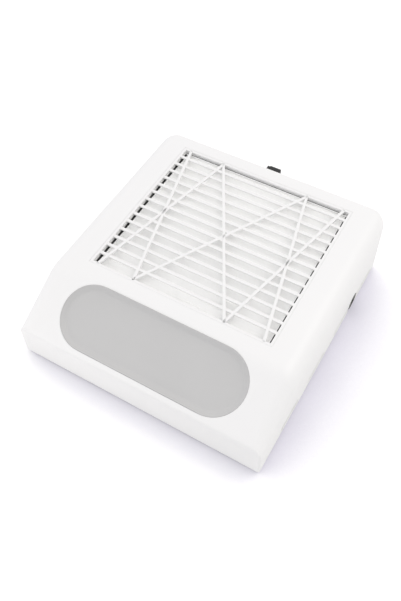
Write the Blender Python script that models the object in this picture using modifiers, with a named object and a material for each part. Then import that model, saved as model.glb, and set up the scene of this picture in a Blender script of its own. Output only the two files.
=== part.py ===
"""Desktop nail dust collector: a moulded housing with a lift-out grille, a pleated filter, a grey
hand rest and a centrifugal fan. Metres, +Z up, +Y to the back, +X to the right as the user sees it.
The origin lies under the middle of the overall box, on the surface that the feet stand on."""

import math

import bmesh
import bpy
from mathutils import Matrix, Vector

# General values
CLEARANCE = 0.0003
OVERRUN = 0.005
ROUND_STEPS = 20

# Housing
BODY_WIDTH = 0.255
BODY_DEPTH = 0.2705
REAR_HEIGHT = 0.0786
FRONT_HEIGHT = 0.0377
SLOPE_ANGLE = math.radians(30.0)
TOP_TILT = math.radians(1.75)
CREASE_RADIUS = 0.030
WALL = 0.0026
SIDE_FILLET = 0.015
NOSE_FILLET = 0.0115
REAR_FILLET = 0.008
FRONT_FILLET = 0.004
REAR_CORNER = 0.016
FRONT_CORNER = 0.003
REAR_CORNER_FOOT = 0.005
FRONT_CORNER_FOOT = 0.002
CORNER_CLOSING_SHARE = 0.85
RIM_CHAMFER = 0.0008
FOOT_HEIGHT = 0.003

# Grille panel
GRILLE_SIDE_MARGIN = 0.0350
GRILLE_FRONT_MARGIN = 0.0796
GRILLE_REAR_MARGIN = 0.0210
GRILLE_BORDER = 0.0025
PANEL_THICKNESS = 0.003
BAR_COUNT = 14
BAR_WIDTH = 0.003
BAR_DROP = 0.0004
BAR_DEPTH = 0.0018
BAR_SHIFT = 0.0009
RIB_WIDTH = 0.0028
RIB_DEPTH = 0.0024
RIB_OUTER_SHARE = 0.468
RIB_INNER_SHARE = 0.256

# Filter and the well that holds it
SHELF_WIDTH = 0.0033
WELL_WALL = 0.002
COLLAR_DEPTH = 0.007
FILTER_DROP = 0.0036
FILTER_HEIGHT = 0.0214
FRAME_WALL = 0.0012
FRAME_LIP = 0.004
FRAME_LIP_THICKNESS = 0.0012
PLEAT_COUNT = 28
PLEAT_DROP = 0.0009
PLEAT_FOLD = 0.0026
LEDGE_WIDTH = 0.006
LEDGE_THICKNESS = 0.002
SEAL_THICKNESS = 0.0015
SEAL_WIDTH = 0.005

# Hand rest
REST_SIDE_MARGIN = 0.033
REST_WIDTH = 0.0625
REST_MARGIN = 0.0062
REST_RECESS = 0.0054
REST_FLOOR = 0.0022
REST_DISH = 0.0035
REST_EDGE = 0.0064
REST_STEPS = 24

# Outlet slots in both side walls
SLOT_COUNT = 4
SLOT_LENGTH = 0.037
SLOT_HEIGHT = 0.004
SLOT_PITCH_SHARE = 0.2159
SLOT_START_SHARE = 0.2163
SLOT_LEVEL = 0.012

# Power inlet in the right wall
INLET_LEVEL = 0.0125
INLET_RADIUS = 0.0092
INLET_FLANGE = 0.0016
INLET_INSET = 0.0
INLET_BODY_RADIUS = 0.006
INLET_LENGTH = 0.021
INLET_BORE_RADIUS = 0.0032
INLET_BORE_DEPTH = 0.0095
INLET_PIN_RADIUS = 0.001
INLET_PIN_SHORT = 0.0015
CRADLE_LENGTH = 0.006
CRADLE_SHOULDER = 0.003
TAB_THICKNESS = 0.0006
TAB_WIDTH = 0.003
TAB_LENGTH = 0.005
TAB_SPACING = 0.005

# Power switch in the rear wall
SWITCH_PROUD = 0.0069
SWITCH_BEZEL = 0.0032
SWITCH_WIDTH = 0.0150
SWITCH_HEIGHT = 0.0182
SWITCH_DROP = 0.0034
SWITCH_POCKET = 0.002
SWITCH_RIM = 0.0006
SWITCH_DEPTH = 0.012
SWITCH_BACKING = 0.003
ROCKER_WIDTH = 0.0120
ROCKER_RADIUS = 0.0074
ROCKER_FLOOR = 0.0042
ROCKER_DISH = 0.0010
ROCKER_LIP_ANGLE = math.radians(15.0)
ROCKER_THROW = math.radians(14.0)

# Bottom cover
BASE_THICKNESS = 0.0022
LIP_HEIGHT = 0.003
LIP_THICKNESS = 0.0016
LIP_CORNER_SHARE = 0.2
POST_RADIUS = 0.0045
POST_SIDE_INSET = 0.0155
POST_REAR_INSET = 0.018
POST_FRONT_INSET = 0.016
BASE_BOSS_RADIUS = 0.0055
BASE_BOSS_HEIGHT = 0.003

# Feet
FOOT_RADIUS = 0.007
FOOT_SEAT = 0.0009
FOOT_TAPER = 0.0008
FOOT_SIDE_INSET = 0.0275
FOOT_END_INSET = 0.034

# Self-tapping screws
SCREW_RADIUS = 0.0013
SCREW_PILOT = 0.0016
SCREW_HEAD_RADIUS = 0.003
SCREW_HEAD = 0.0020
SCREW_BITE = 0.009
SCREW_STEPS = 8
SCREW_DOME_SHARE = 0.7

# Fan deck
DECK_THICKNESS = 0.0024
DECK_FLANGE = 0.0037
DECK_CORNER = 0.006
DECK_EAR_RADIUS = 0.006
DECK_EAR_REACH = 0.0052
DECK_EAR_INSET = 0.032
DECK_EAR_STEP = 0.0006
MOUTH_RADIUS_SHARE = 0.643
MOUTH_THICKNESS = 0.0014
MOUTH_FLARE = 0.006
MOUTH_RISE = 0.0006

# Impeller
FAN_RADIUS_SHARE = 0.412
FAN_GAP = 0.0024
FAN_EYE_GAP = 0.0016
FAN_LIP_OVERLAP = 0.0008
FAN_LIFT = 0.0081
FAN_SKIN = 0.0015
SHROUD_FALL = 0.0020
BLADE_COUNT = 11
BLADE_THICKNESS = 0.0013
BLADE_INSET = 0.0015
BLADE_SWEEP = math.radians(34.0)
BLADE_TIP_INSET = 0.0006
DOME_SKIN = 0.0018
DOME_GAP = 0.0022
DOME_DROP = 0.0103
HUB_RADIUS = 0.006
HUB_HEIGHT = 0.0026
FAN_STEPS = 36

# Motor
MOTOR_RADIUS = 0.022
MOTOR_CHAMFER = 0.0012
MOTOR_NOSE_RADIUS = 0.007
MOTOR_NOSE = 0.0016
MOTOR_BOSS_HEIGHT = 0.003
MOTOR_BOSS_RADIUS = 0.0038
MOTOR_BOSS_CIRCLE = 0.027
MOTOR_SCREW_COUNT = 3
PLATE_RADIUS = 0.032
PLATE_THICKNESS = 0.0016
SHAFT_RADIUS = 0.0025
SHAFT_SUNK_SHARE = 0.7
BUSH_RADIUS = 0.0046
BUSH_HEIGHT = 0.0034
NUT_RADIUS = 0.0046
NUT_HEIGHT = 0.0026
SHAFT_END = 0.0010

# Driver board
BOARD_LENGTH = 0.070
BOARD_WIDTH = 0.044
BOARD_THICKNESS = 0.0016
BOARD_LEFT = 0.012
BOARD_FRONT_INSET = 0.016
BOARD_POST_HEIGHT = 0.006
BOARD_POST_RADIUS = 0.003
BOARD_POST_INSET = 0.0045
CAPACITOR_RADIUS = 0.005
CAPACITOR_HEIGHT = 0.014
CAPACITOR_X_SHARE = 0.26
CAPACITOR_Y_SHARE = 0.40
SINK_LENGTH = 0.020
SINK_WIDTH = 0.010
SINK_HEIGHT = 0.012
SINK_FIN_COUNT = 5
SINK_FLOOR_SHARE = 0.25
SINK_X_SHARE = 0.62
SINK_Y_SHARE = 0.36
PLUG_WIDTH = 0.0075
PLUG_DEPTH = 0.006
PLUG_HEIGHT = 0.007
PLUG_SHARES = (0.22, 0.50, 0.78)

# Leads
LEAD_RADIUS = 0.0012
LEAD_SPACING = 0.008
LEAD_LANE_INSET = 0.0305
LEAD_REAR_SHARES = ((0.6, 0.9), (0.93, 0.72), (1, 0.3), (1, 0))
LEAD_FRONT_SHARES = ((1, 0.45), (0.8, 0.8), (0.3, 0.86))
LEAD_GAP = 0.001

# Derived places
FRONT_Y = -(BODY_DEPTH + SWITCH_PROUD) / 2
REAR_Y = FRONT_Y + BODY_DEPTH
SIDE_X = BODY_WIDTH / 2
FRONT_TOP = FOOT_HEIGHT + FRONT_HEIGHT
REAR_TOP = FOOT_HEIGHT + REAR_HEIGHT
BASE_TOP = FOOT_HEIGHT + BASE_THICKNESS
GRILLE_REAR_Y = REAR_Y - GRILLE_REAR_MARGIN
GRILLE_FRONT_Y = FRONT_Y + GRILLE_FRONT_MARGIN
GRILLE_WIDTH = BODY_WIDTH - 2 * GRILLE_SIDE_MARGIN
GRILLE_DEPTH = (GRILLE_REAR_Y - GRILLE_FRONT_Y) / math.cos(TOP_TILT)
REST_LENGTH = BODY_WIDTH - 2 * REST_SIDE_MARGIN
LEAD_LANE = SIDE_X - LEAD_LANE_INSET
FAN_Y = (GRILLE_REAR_Y + GRILLE_FRONT_Y) / 2
FAN_RADIUS = min(GRILLE_WIDTH, GRILLE_DEPTH) * FAN_RADIUS_SHARE
MOUTH_RADIUS = FAN_RADIUS * MOUTH_RADIUS_SHARE

COLLECTION_NAME = "nail_dust_collector"
WHITE = (0.90, 0.90, 0.90)
BLACK = (0.012, 0.012, 0.013)
BRASS = (0.72, 0.50, 0.20)
STEEL = (0.55, 0.56, 0.57)


# Scene and materials

def clear_scene():
    for old in list(bpy.data.objects):
        bpy.data.objects.remove(old, do_unlink=True)


def new_collection(name):
    made = bpy.data.collections.new(name)
    bpy.context.scene.collection.children.link(made)
    return made


def material(name, colour, roughness, metallic=0.0):
    made = bpy.data.materials.get(name)
    if made:
        return made
    made = bpy.data.materials.new(name)
    made.use_nodes = True
    shader = made.node_tree.nodes["Principled BSDF"]
    shader.inputs["Base Color"].default_value = (*colour, 1.0)
    shader.inputs["Roughness"].default_value = roughness
    shader.inputs["Metallic"].default_value = metallic
    made.diffuse_color = (*colour, 1.0)
    return made


def white_plastic():
    return material("white_plastic", WHITE, 0.38)


def black_plastic():
    return material("black_plastic", BLACK, 0.40)


def brass():
    return material("brass", BRASS, 0.30, 1.0)


def steel():
    return material("zinc_plated_steel", STEEL, 0.35, 1.0)


# Solids from primitives, outlines, profiles and routes

def place(name, bm, finish=None, frame=None):
    """Turn a bmesh into an object: a part where it has a finish, otherwise a cutter."""
    bmesh.ops.recalc_face_normals(bm, faces=bm.faces)
    mesh = bpy.data.meshes.new(name)
    bm.to_mesh(mesh)
    bm.free()
    return keep(bpy.data.objects.new(name, mesh), finish, frame)


def keep(made, finish=None, frame=None):
    if finish:
        made.data.materials.append(finish)
        PARTS.objects.link(made)
    else:
        made.hide_render = True
        made.display_type = "WIRE"
        CUTTERS.objects.link(made)
    if frame:
        made.matrix_world = frame
    return made


def add_box(bm, low, high):
    made = bmesh.ops.create_cube(bm, size=1.0)["verts"]
    size = [top - bottom for bottom, top in zip(low, high)]
    middle = [(top + bottom) / 2 for bottom, top in zip(low, high)]
    bmesh.ops.scale(bm, vec=size, verts=made)
    bmesh.ops.translate(bm, vec=middle, verts=made)


def boxes(name, spans, finish=None, frame=None):
    bm = bmesh.new()
    for low, high in spans:
        add_box(bm, low, high)
    return place(name, bm, finish, frame)


def add_rod(bm, centre, radius, low, high, steps):
    made = bmesh.ops.create_cone(bm, cap_ends=True, segments=steps, radius1=radius,
                                 radius2=radius, depth=high - low)["verts"]
    bmesh.ops.translate(bm, vec=(*centre, (low + high) / 2), verts=made)


def rods(name, centres, radius, low, high, finish=None, frame=None, steps=ROUND_STEPS):
    """Upright cylinders of one radius, one at each centre."""
    bm = bmesh.new()
    for centre in centres:
        add_rod(bm, centre, radius, low, high, steps)
    return place(name, bm, finish, frame)


def add_prism(bm, outline, low, high):
    floor = bm.faces.new([bm.verts.new((x, y, low)) for x, y in outline])
    raised = bmesh.ops.extrude_face_region(bm, geom=[floor])["geom"]
    corners = [item for item in raised if isinstance(item, bmesh.types.BMVert)]
    bmesh.ops.translate(bm, vec=(0, 0, high - low), verts=corners)


def prisms(name, outlines, low, high, finish=None, frame=None):
    """Flat outlines pulled up from one level to another."""
    bm = bmesh.new()
    for outline in outlines:
        add_prism(bm, outline, low, high)
    return place(name, bm, finish, frame)


def stack(name, rings, finish=None, frame=None):
    """A loft through level rings of like count, closed at both ends."""
    bm = bmesh.new()
    rows = [[bm.verts.new(point) for point in ring] for ring in rings]
    bm.faces.new(rows[0])
    bm.faces.new(rows[-1])
    for lower, upper in zip(rows, rows[1:]):
        for here in range(len(lower)):
            after = (here + 1) % len(lower)
            bm.faces.new((lower[here], lower[after], upper[after], upper[here]))
    return place(name, bm, finish, frame)


def turned(name, profile, finish=None, frame=None, steps=ROUND_STEPS):
    """A profile of (radius, height) points turned about Z. It runs down the outer side. Where it
    does not start and end on the axis it is closed, and makes a ring."""
    bm = bmesh.new()
    corners = [bm.verts.new((radius, 0, height)) for radius, height in profile]
    for first, second in zip(corners, corners[1:]):
        bm.edges.new((first, second))
    if profile[0][0] > 0:
        bm.edges.new((corners[-1], corners[0]))
    mesh = bpy.data.meshes.new(name)
    bm.to_mesh(mesh)
    bm.free()
    made = keep(bpy.data.objects.new(name, mesh), finish, frame)
    screw = made.modifiers.new("turn", "SCREW")
    screw.steps = steps
    screw.render_steps = steps
    screw.use_merge_vertices = True
    screw.merge_threshold = 0.00001
    screw.use_smooth_shade = True
    return made


def apply_boolean(target, tool, operation):
    step = target.modifiers.new(tool.name, "BOOLEAN")
    step.operation = operation
    step.solver = "EXACT"
    step.object = tool


def cut(target, *tools):
    for tool in tools:
        apply_boolean(target, tool, "DIFFERENCE")


def join(target, *tools):
    for tool in tools:
        apply_boolean(target, tool, "UNION")


def arc(centre, radius, start, end, steps):
    """Points of a flat arc, both ends included. Angles in radians."""
    angles = [start + (end - start) * step / steps for step in range(steps + 1)]
    return [(centre[0] + radius * math.cos(turn), centre[1] + radius * math.sin(turn))
            for turn in angles]


def rounded_rectangle(left, right, front, rear, radius, steps=4):
    quarter = math.pi / 2
    return (arc((right - radius, front + radius), radius, -quarter, 0, steps)
            + arc((right - radius, rear - radius), radius, 0, quarter, steps)
            + arc((left + radius, rear - radius), radius, quarter, 2 * quarter, steps)
            + arc((left + radius, front + radius), radius, 2 * quarter, 3 * quarter, steps))


def stadium(length, width, steps=REST_STEPS):
    """A bar with round ends, along X, centred on the origin."""
    radius = width / 2
    reach = length / 2 - radius
    quarter = math.pi / 2
    return (arc((reach, 0), radius, -quarter, quarter, steps)
            + arc((-reach, 0), radius, quarter, 3 * quarter, steps))


def mirrored(centres):
    """Each centre on the right, and its twin on the left."""
    return [(side * x, y) for x, y in centres for side in (1, -1)]


# Frames that carry tilted pieces

def tilted_frame(origin, angle):
    return Matrix.Translation(origin) @ Matrix.Rotation(angle, 4, "X")


def profile_frame(base):
    """A frame whose prisms have their outline in the base's Y and Z and their height along its X."""
    return base @ Matrix(((0, 0, 1, 0), (1, 0, 0, 0), (0, 1, 0, 0), (0, 0, 0, 1)))


def crease_centre():
    """The centre of the arc that blends the slope into the top, in Y and Z."""
    slope = math.tan(SLOPE_ANGLE)
    fall = math.tan(TOP_TILT)
    front_line = FRONT_TOP - CREASE_RADIUS / math.cos(SLOPE_ANGLE) - slope * FRONT_Y
    rear_line = REAR_TOP - CREASE_RADIUS / math.cos(TOP_TILT) - fall * REAR_Y
    y = (rear_line - front_line) / (slope - fall)
    return y, front_line + slope * y


def top_height(y, inset=0.0):
    """Height of the housing's top at y, or of a face that lies deeper in it by an inset."""
    centre_y, centre_z = crease_centre()
    radius = CREASE_RADIUS - inset
    if y < centre_y - radius * math.sin(SLOPE_ANGLE):
        return FRONT_TOP + math.tan(SLOPE_ANGLE) * (y - FRONT_Y) - inset / math.cos(SLOPE_ANGLE)
    if y > centre_y - radius * math.sin(TOP_TILT):
        return REAR_TOP - math.tan(TOP_TILT) * (REAR_Y - y) - inset / math.cos(TOP_TILT)
    return centre_z + math.sqrt(radius ** 2 - (y - centre_y) ** 2)


def top_frame():
    """Origin at the middle of the grille's front edge, X to the right, Y up the tilted top."""
    return tilted_frame((0, GRILLE_FRONT_Y, top_height(GRILLE_FRONT_Y)), TOP_TILT)


def slope_frame():
    """Origin at the middle of the hand rest, on the plane of the slope."""
    along = REST_MARGIN + REST_WIDTH / 2
    rise = (0, FRONT_Y + along * math.cos(SLOPE_ANGLE), FRONT_TOP + along * math.sin(SLOPE_ANGLE))
    return tilted_frame(rise, SLOPE_ANGLE)


# Housing outline

def blend(start, end, share):
    return start + (end - start) * share


def side_fillet(y):
    """Radius of the fillet along the side walls, which gets smaller down the slope."""
    start = FRONT_Y + FRONT_CORNER
    share = (y - start) / (crease_centre()[0] - start)
    return blend(NOSE_FILLET, SIDE_FILLET, min(max(share, 0), 1))


def side_stations(front, rear, inset):
    """Places along a side wall where the loft has a row: down the slope and round the crease."""
    centre_y = crease_centre()[0]
    radius = CREASE_RADIUS - inset
    start = centre_y - radius * math.sin(SLOPE_ANGLE)
    slope = [blend(front, start, share) for share in (1 / 3, 2 / 3)]
    steps = 5
    turns = [blend(SLOPE_ANGLE, TOP_TILT, step / steps) for step in range(steps + 1)]
    crease = [centre_y - radius * math.sin(turn) for turn in turns]
    return slope + crease + [blend(crease[-1], rear, 1 / 2)]


def inner_fillet(radius, inset):
    """Radius of a fillet on a face that lies deeper by an inset, never quite sharp."""
    return max(radius - inset, radius / 5)


def half_outline(inset, corners, turn=0.0, side_rows=True):
    """The right half of the plan from the front's middle to the rear's middle, at one height of
    the rounded shoulder: turn 0 is on the walls, a quarter turn is on the top. The corners are the
    front and the rear radius. Each point has its place and the radius of the fillet there."""
    step = 1 - math.cos(turn)
    closing = 1 - CORNER_CLOSING_SHARE * step
    nose, corner = [max(radius - inset, radius / 8) for radius in corners]
    rows = side_stations(FRONT_Y + inset + FRONT_CORNER, REAR_Y - inset - REAR_CORNER, inset)
    nose, corner = nose * closing, corner * closing
    front = FRONT_Y + inset + step * inner_fillet(FRONT_FILLET, inset)
    rear = REAR_Y - inset - step * inner_fillet(REAR_FILLET, inset)
    nose_x = SIDE_X - inset - step * inner_fillet(NOSE_FILLET, inset)
    side = SIDE_X - inset - step * inner_fillet(SIDE_FILLET, inset)
    front_steps, rear_steps = 5, 6
    points = [(0, front, FRONT_FILLET)]
    for index in range(front_steps + 1):
        share = index / front_steps
        along = math.pi / 2 * share
        points.append((nose_x - nose + nose * math.sin(along),
                       front + nose - nose * math.cos(along),
                       blend(FRONT_FILLET, NOSE_FILLET, share)))
    for y in rows if side_rows else []:
        fillet = side_fillet(y)
        points.append((SIDE_X - inset - step * inner_fillet(fillet, inset), y, fillet))
    for index in range(rear_steps + 1):
        share = index / rear_steps
        along = math.pi / 2 * share
        points.append((side - corner + corner * math.cos(along),
                       rear - corner + corner * math.sin(along),
                       blend(SIDE_FILLET, REAR_FILLET, share)))
    points.append((0, rear, REAR_FILLET))
    return points


def shoulder_ring(inset, turn):
    """One row of the rounded shoulder, between the walls and the top."""
    ring = []
    for x, y, fillet in half_outline(inset, (FRONT_CORNER, REAR_CORNER), turn):
        drop = inner_fillet(fillet, inset) * (1 - math.sin(turn))
        ring.append((x, y, top_height(y, inset) - drop))
    return ring


def flat_ring(inset, level):
    """A row at the foot of the walls, where the corners are sharper."""
    return [(x, y, level) for x, y, _ in half_outline(inset, (FRONT_CORNER_FOOT, REAR_CORNER_FOOT))]


def housing_loft(name, inset, bottom, chamfer, shoulder_steps, finish=None):
    """The right half of the housing lofted up its walls, round its shoulder and across its top,
    then mirrored."""
    rings = [flat_ring(inset + chamfer, bottom)] if chamfer else []
    rings.append(flat_ring(inset, bottom + chamfer))
    for step in range(shoulder_steps + 1):
        rings.append(shoulder_ring(inset, math.pi / 2 * step / shoulder_steps))
    bm = bmesh.new()
    rows = [[bm.verts.new(point) for point in ring] for ring in rings]
    for lower, upper in zip(rows, rows[1:]):
        for here in range(len(lower) - 1):
            bm.faces.new((lower[here], lower[here + 1], upper[here + 1], upper[here]))
    bm.faces.new(rows[0])
    top = rows[-1]
    middle = [bm.verts.new((0, vert.co.y, vert.co.z)) for vert in top[2:-2]]
    middle = [top[0]] + middle + [top[-1]]
    for here, (near, far) in enumerate(zip(middle, middle[1:])):
        bm.faces.new((near, top[here + 1], top[here + 2], far))
    made = place(name, bm, finish)
    mirror = made.modifiers.new("other_half", "MIRROR")
    mirror.merge_threshold = 0.00001
    return made


def plan_outline(inset):
    """The whole plan of the housing where the bottom cover's lip ends, less an inset."""
    corners = (FRONT_CORNER, blend(REAR_CORNER_FOOT, REAR_CORNER, LIP_CORNER_SHARE))
    half = [(x, y) for x, y, _ in half_outline(inset, corners, side_rows=False)][1:-1]
    return half + [(-x, y) for x, y in reversed(half)]


# Places that several pieces share

def post_centres():
    x = SIDE_X - POST_SIDE_INSET
    return mirrored([(x, FRONT_Y + POST_FRONT_INSET), (x, REAR_Y - POST_REAR_INSET)])


def foot_centres():
    x = SIDE_X - FOOT_SIDE_INSET
    return {"front_left": (-x, FRONT_Y + FOOT_END_INSET), "front_right": (x, FRONT_Y + FOOT_END_INSET),
            "rear_left": (-x, REAR_Y - FOOT_END_INSET), "rear_right": (x, REAR_Y - FOOT_END_INSET)}


def seat_span():
    """Half width, front and rear of the grille's seat, in the top frame."""
    grown = GRILLE_BORDER + CLEARANCE
    return GRILLE_WIDTH / 2 + grown, -grown, GRILLE_DEPTH + grown


def well_span():
    half, front, rear = seat_span()
    return half - SHELF_WIDTH, front + SHELF_WIDTH, rear - SHELF_WIDTH


def ledge_depth():
    """Depth of the ledge's upper face under the top, square to it."""
    return FILTER_DROP + FILTER_HEIGHT + SEAL_THICKNESS + 2 * CLEARANCE


def deck_top():
    """The deck lies level, just under the well's lowest corner, which is at its front."""
    front = well_span()[1] - WELL_WALL
    corner = top_frame() @ Vector((0, front, -ledge_depth() - LEDGE_THICKNESS))
    return corner.z - CLEARANCE


def deck_bottom():
    return deck_top() - DECK_THICKNESS


def deck_span():
    half, front, rear = well_span()
    frame = top_frame()
    low = (frame @ Vector((0, front - WELL_WALL, 0))).y
    high = (frame @ Vector((0, rear + WELL_WALL, 0))).y
    grown = WELL_WALL + DECK_FLANGE
    return half + grown + WELL_WALL, low - DECK_FLANGE, high + DECK_FLANGE


def ear_centres():
    half, front, rear = deck_span()
    x = half + DECK_EAR_REACH
    return mirrored([(x, front + DECK_EAR_INSET), (x, rear - DECK_EAR_INSET)])


def slot_centres():
    shares = [SLOT_START_SHARE + SLOT_PITCH_SHARE * index for index in range(SLOT_COUNT)]
    return [FRONT_Y + BODY_DEPTH * share for share in shares]


def inlet_y():
    """The inlet lies midway between the two rear slots."""
    return (slot_centres()[-1] + slot_centres()[-2]) / 2


def inlet_frame():
    """Origin in the wall's outer face on the inlet's axis, Z outwards."""
    return Matrix.Translation((SIDE_X, inlet_y(), INLET_LEVEL)) @ Matrix.Rotation(math.pi / 2, 4, "Y")


def inlet_tail_x():
    return SIDE_X - INLET_INSET - INLET_LENGTH


def switch_z():
    return REAR_TOP - SWITCH_DROP - SWITCH_HEIGHT / 2


def rocker_pivot():
    raised = ROCKER_RADIUS * math.sin(ROCKER_LIP_ANGLE + ROCKER_THROW)
    return Vector((0, REAR_Y + SWITCH_PROUD - raised, switch_z()))


def switch_face():
    """Y of the outer face of the switch's bezel."""
    return REAR_Y + SWITCH_BEZEL


# Top cover

def well_core():
    """What stays solid round the filter: collar, walls and ledge, with the space for the filter
    cut out of it."""
    half, front, rear = well_span()
    seat_half, seat_front, seat_rear = seat_span()
    frame = top_frame()
    deep = REAR_HEIGHT
    collar = boxes("well_collar", [((-seat_half - WELL_WALL, seat_front - WELL_WALL, -COLLAR_DEPTH),
                                    (seat_half + WELL_WALL, seat_rear + WELL_WALL, OVERRUN))],
                   frame=frame)
    walls = boxes("well_walls", [((-half - WELL_WALL, front - WELL_WALL, -deep),
                                  (half + WELL_WALL, rear + WELL_WALL, -COLLAR_DEPTH / 2))],
                  frame=frame)
    space = boxes("well_space", [((-half, front, -ledge_depth()), (half, rear, deep))], frame=frame)
    inner = LEDGE_WIDTH
    throat = boxes("well_throat", [((-half + inner, front + inner, -2 * deep),
                                    (half - inner, rear - inner, 0))], frame=frame)
    under = boxes("well_under", [((-BODY_WIDTH, FRONT_Y, -deep),
                                  (BODY_WIDTH, REAR_Y, deck_top() + CLEARANCE))])
    ledge_under = boxes("ledge_under", [((-half, front, -2 * deep),
                                         (half, rear, -ledge_depth() - LEDGE_THICKNESS))],
                        frame=frame)
    join(collar, walls)
    cut(collar, space, throat, under, ledge_under)
    return collar


def rest_pocket():
    grown = 2 * REST_FLOOR
    outline = stadium(REST_LENGTH + grown, REST_WIDTH + grown)
    return prisms("rest_pocket", [outline], -REST_RECESS - REST_FLOOR, OVERRUN, frame=slope_frame())


def rest_recess():
    grown = 2 * CLEARANCE
    outline = stadium(REST_LENGTH + grown, REST_WIDTH + grown)
    return prisms("rest_recess", [outline], -REST_RECESS, OVERRUN, frame=slope_frame())


def slot_cutters():
    outline = stadium(SLOT_LENGTH, SLOT_HEIGHT, 4)
    bm = bmesh.new()
    for y in slot_centres():
        turned_outline = [(y + along, SLOT_LEVEL + across) for along, across in outline]
        add_prism(bm, turned_outline, SIDE_X - WALL - OVERRUN, SIDE_X + OVERRUN)
        add_prism(bm, turned_outline, -SIDE_X - OVERRUN, -SIDE_X + WALL + OVERRUN)
    return place("slot_cutters", bm, frame=profile_frame(Matrix.Identity(4)))


def inlet_notch():
    radius = INLET_RADIUS + CLEARANCE
    bottom = (-radius, -INLET_LEVEL)
    arch = arc((0, 0), radius, 0, math.pi, 12)
    outline = [(radius, bottom[1])] + arch + [bottom]
    shape = [(y + inlet_y(), z + INLET_LEVEL) for y, z in outline]
    return prisms("inlet_notch", [shape], SIDE_X - WALL - OVERRUN, SIDE_X + OVERRUN,
                  frame=profile_frame(Matrix.Identity(4)))


def switch_cutters():
    half_width = SWITCH_WIDTH / 2 + CLEARANCE
    half_height = SWITCH_HEIGHT / 2 + CLEARANCE
    body_width = half_width - SWITCH_RIM
    body_height = half_height - SWITCH_RIM
    z = switch_z()
    pocket = boxes("switch_pocket", [((-half_width, REAR_Y - SWITCH_POCKET, z - half_height),
                                      (half_width, REAR_Y + OVERRUN, z + half_height))])
    hole = boxes("switch_hole", [((-body_width, REAR_Y - WALL - SWITCH_BACKING - OVERRUN,
                                   z - body_height),
                                  (body_width, REAR_Y, z + body_height))])
    return pocket, hole


def top_cover():
    cover = housing_loft("top_cover", 0.0, FOOT_HEIGHT, RIM_CHAMFER, 5, white_plastic())
    core = housing_loft("top_cover_core", WALL, FOOT_HEIGHT - OVERRUN, 0.0, 3)
    posts = rods("corner_posts", post_centres(), POST_RADIUS,
                 BASE_TOP + BASE_BOSS_HEIGHT + CLEARANCE, REAR_TOP)
    ears = rods("deck_posts", ear_centres(), POST_RADIUS,
                deck_top() - DECK_EAR_STEP + CLEARANCE, REAR_TOP)
    backing = boxes("switch_backing",
                    [((-SWITCH_WIDTH, REAR_Y - WALL - SWITCH_BACKING, switch_z() - SWITCH_HEIGHT),
                      (SWITCH_WIDTH, REAR_Y, REAR_TOP))])
    cut(core, well_core(), rest_pocket(), posts, ears, backing)
    half, front, rear = seat_span()
    seat = boxes("grille_seat", [((-half, front, -PANEL_THICKNESS - CLEARANCE),
                                  (half, rear, OVERRUN))], frame=top_frame())
    pilots = rods("corner_pilots", post_centres(), SCREW_PILOT, FOOT_HEIGHT,
                  BASE_TOP + BASE_BOSS_HEIGHT + SCREW_BITE + SCREW_HEAD, steps=SCREW_STEPS)
    ear_pilots = rods("deck_pilots", ear_centres(), SCREW_PILOT, deck_bottom(),
                      deck_top() + SCREW_BITE + SCREW_HEAD, steps=SCREW_STEPS)
    cut(cover, core, seat, rest_recess(), slot_cutters(), inlet_notch(), *switch_cutters(),
        pilots, ear_pilots)
    return cover


# Grille panel

def rib_outline(front_x, rear_x):
    """A slanting rib in plan, run on into the border at both ends."""
    lean = (rear_x - front_x) / GRILLE_DEPTH
    half = RIB_WIDTH / 2 * math.hypot(1, lean)
    reach = GRILLE_BORDER / 2
    low = front_x - lean * reach
    high = rear_x + lean * reach
    return [(low - half, -reach), (low + half, -reach),
            (high + half, GRILLE_DEPTH + reach), (high - half, GRILLE_DEPTH + reach)]


def grille_panel():
    """Cross bars and three crossed pairs of thin ribs in a border that drops into the top cover."""
    frame = top_frame()
    half = GRILLE_WIDTH / 2
    border = GRILLE_BORDER
    panel = boxes("grille_panel", [((-half - border, -border, -PANEL_THICKNESS),
                                    (half + border, GRILLE_DEPTH + border, 0))],
                  white_plastic(), frame)
    opening = boxes("grille_opening", [((-half, 0, -PANEL_THICKNESS - OVERRUN),
                                        (half, GRILLE_DEPTH, OVERRUN))], frame=frame)
    pitch = GRILLE_DEPTH / (BAR_COUNT + 1)
    bars = []
    for index in range(BAR_COUNT):
        middle = pitch * (index + 1) + BAR_SHIFT
        bars.append(((-half - border / 2, middle - BAR_WIDTH / 2, -BAR_DROP - BAR_DEPTH),
                     (half + border / 2, middle + BAR_WIDTH / 2, -BAR_DROP)))
    knots = [-RIB_OUTER_SHARE, -RIB_INNER_SHARE, RIB_INNER_SHARE, RIB_OUTER_SHARE]
    places = [share * GRILLE_WIDTH for share in knots]
    right = [rib_outline(near, far) for near, far in zip(places, places[1:])]
    left = [rib_outline(far, near) for near, far in zip(places, places[1:])]
    cut(panel, opening)
    join(panel, boxes("grille_bars", bars, frame=frame),
         prisms("ribs_to_right", right, -RIB_DEPTH, 0, frame=frame),
         prisms("ribs_to_left", left, -RIB_DEPTH, 0, frame=frame))
    return panel


# Filter

def filter_frame():
    frame = top_frame()
    half, front, rear = well_span()
    half, front, rear = half - CLEARANCE, front + CLEARANCE, rear - CLEARANCE
    bottom = -FILTER_DROP - FILTER_HEIGHT
    made = boxes("filter_frame", [((-half, front, bottom), (half, rear, -FILTER_DROP))],
                 black_plastic(), frame)
    wall = FRAME_WALL
    inner = boxes("filter_frame_space",
                  [((-half + wall, front + wall, bottom + FRAME_LIP_THICKNESS),
                    (half - wall, rear - wall, OVERRUN))], frame=frame)
    lip = FRAME_LIP + wall
    window = boxes("filter_frame_window",
                   [((-half + lip, front + lip, bottom - OVERRUN),
                     (half - lip, rear - lip, OVERRUN))], frame=frame)
    cut(made, inner, window)
    return made


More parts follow.
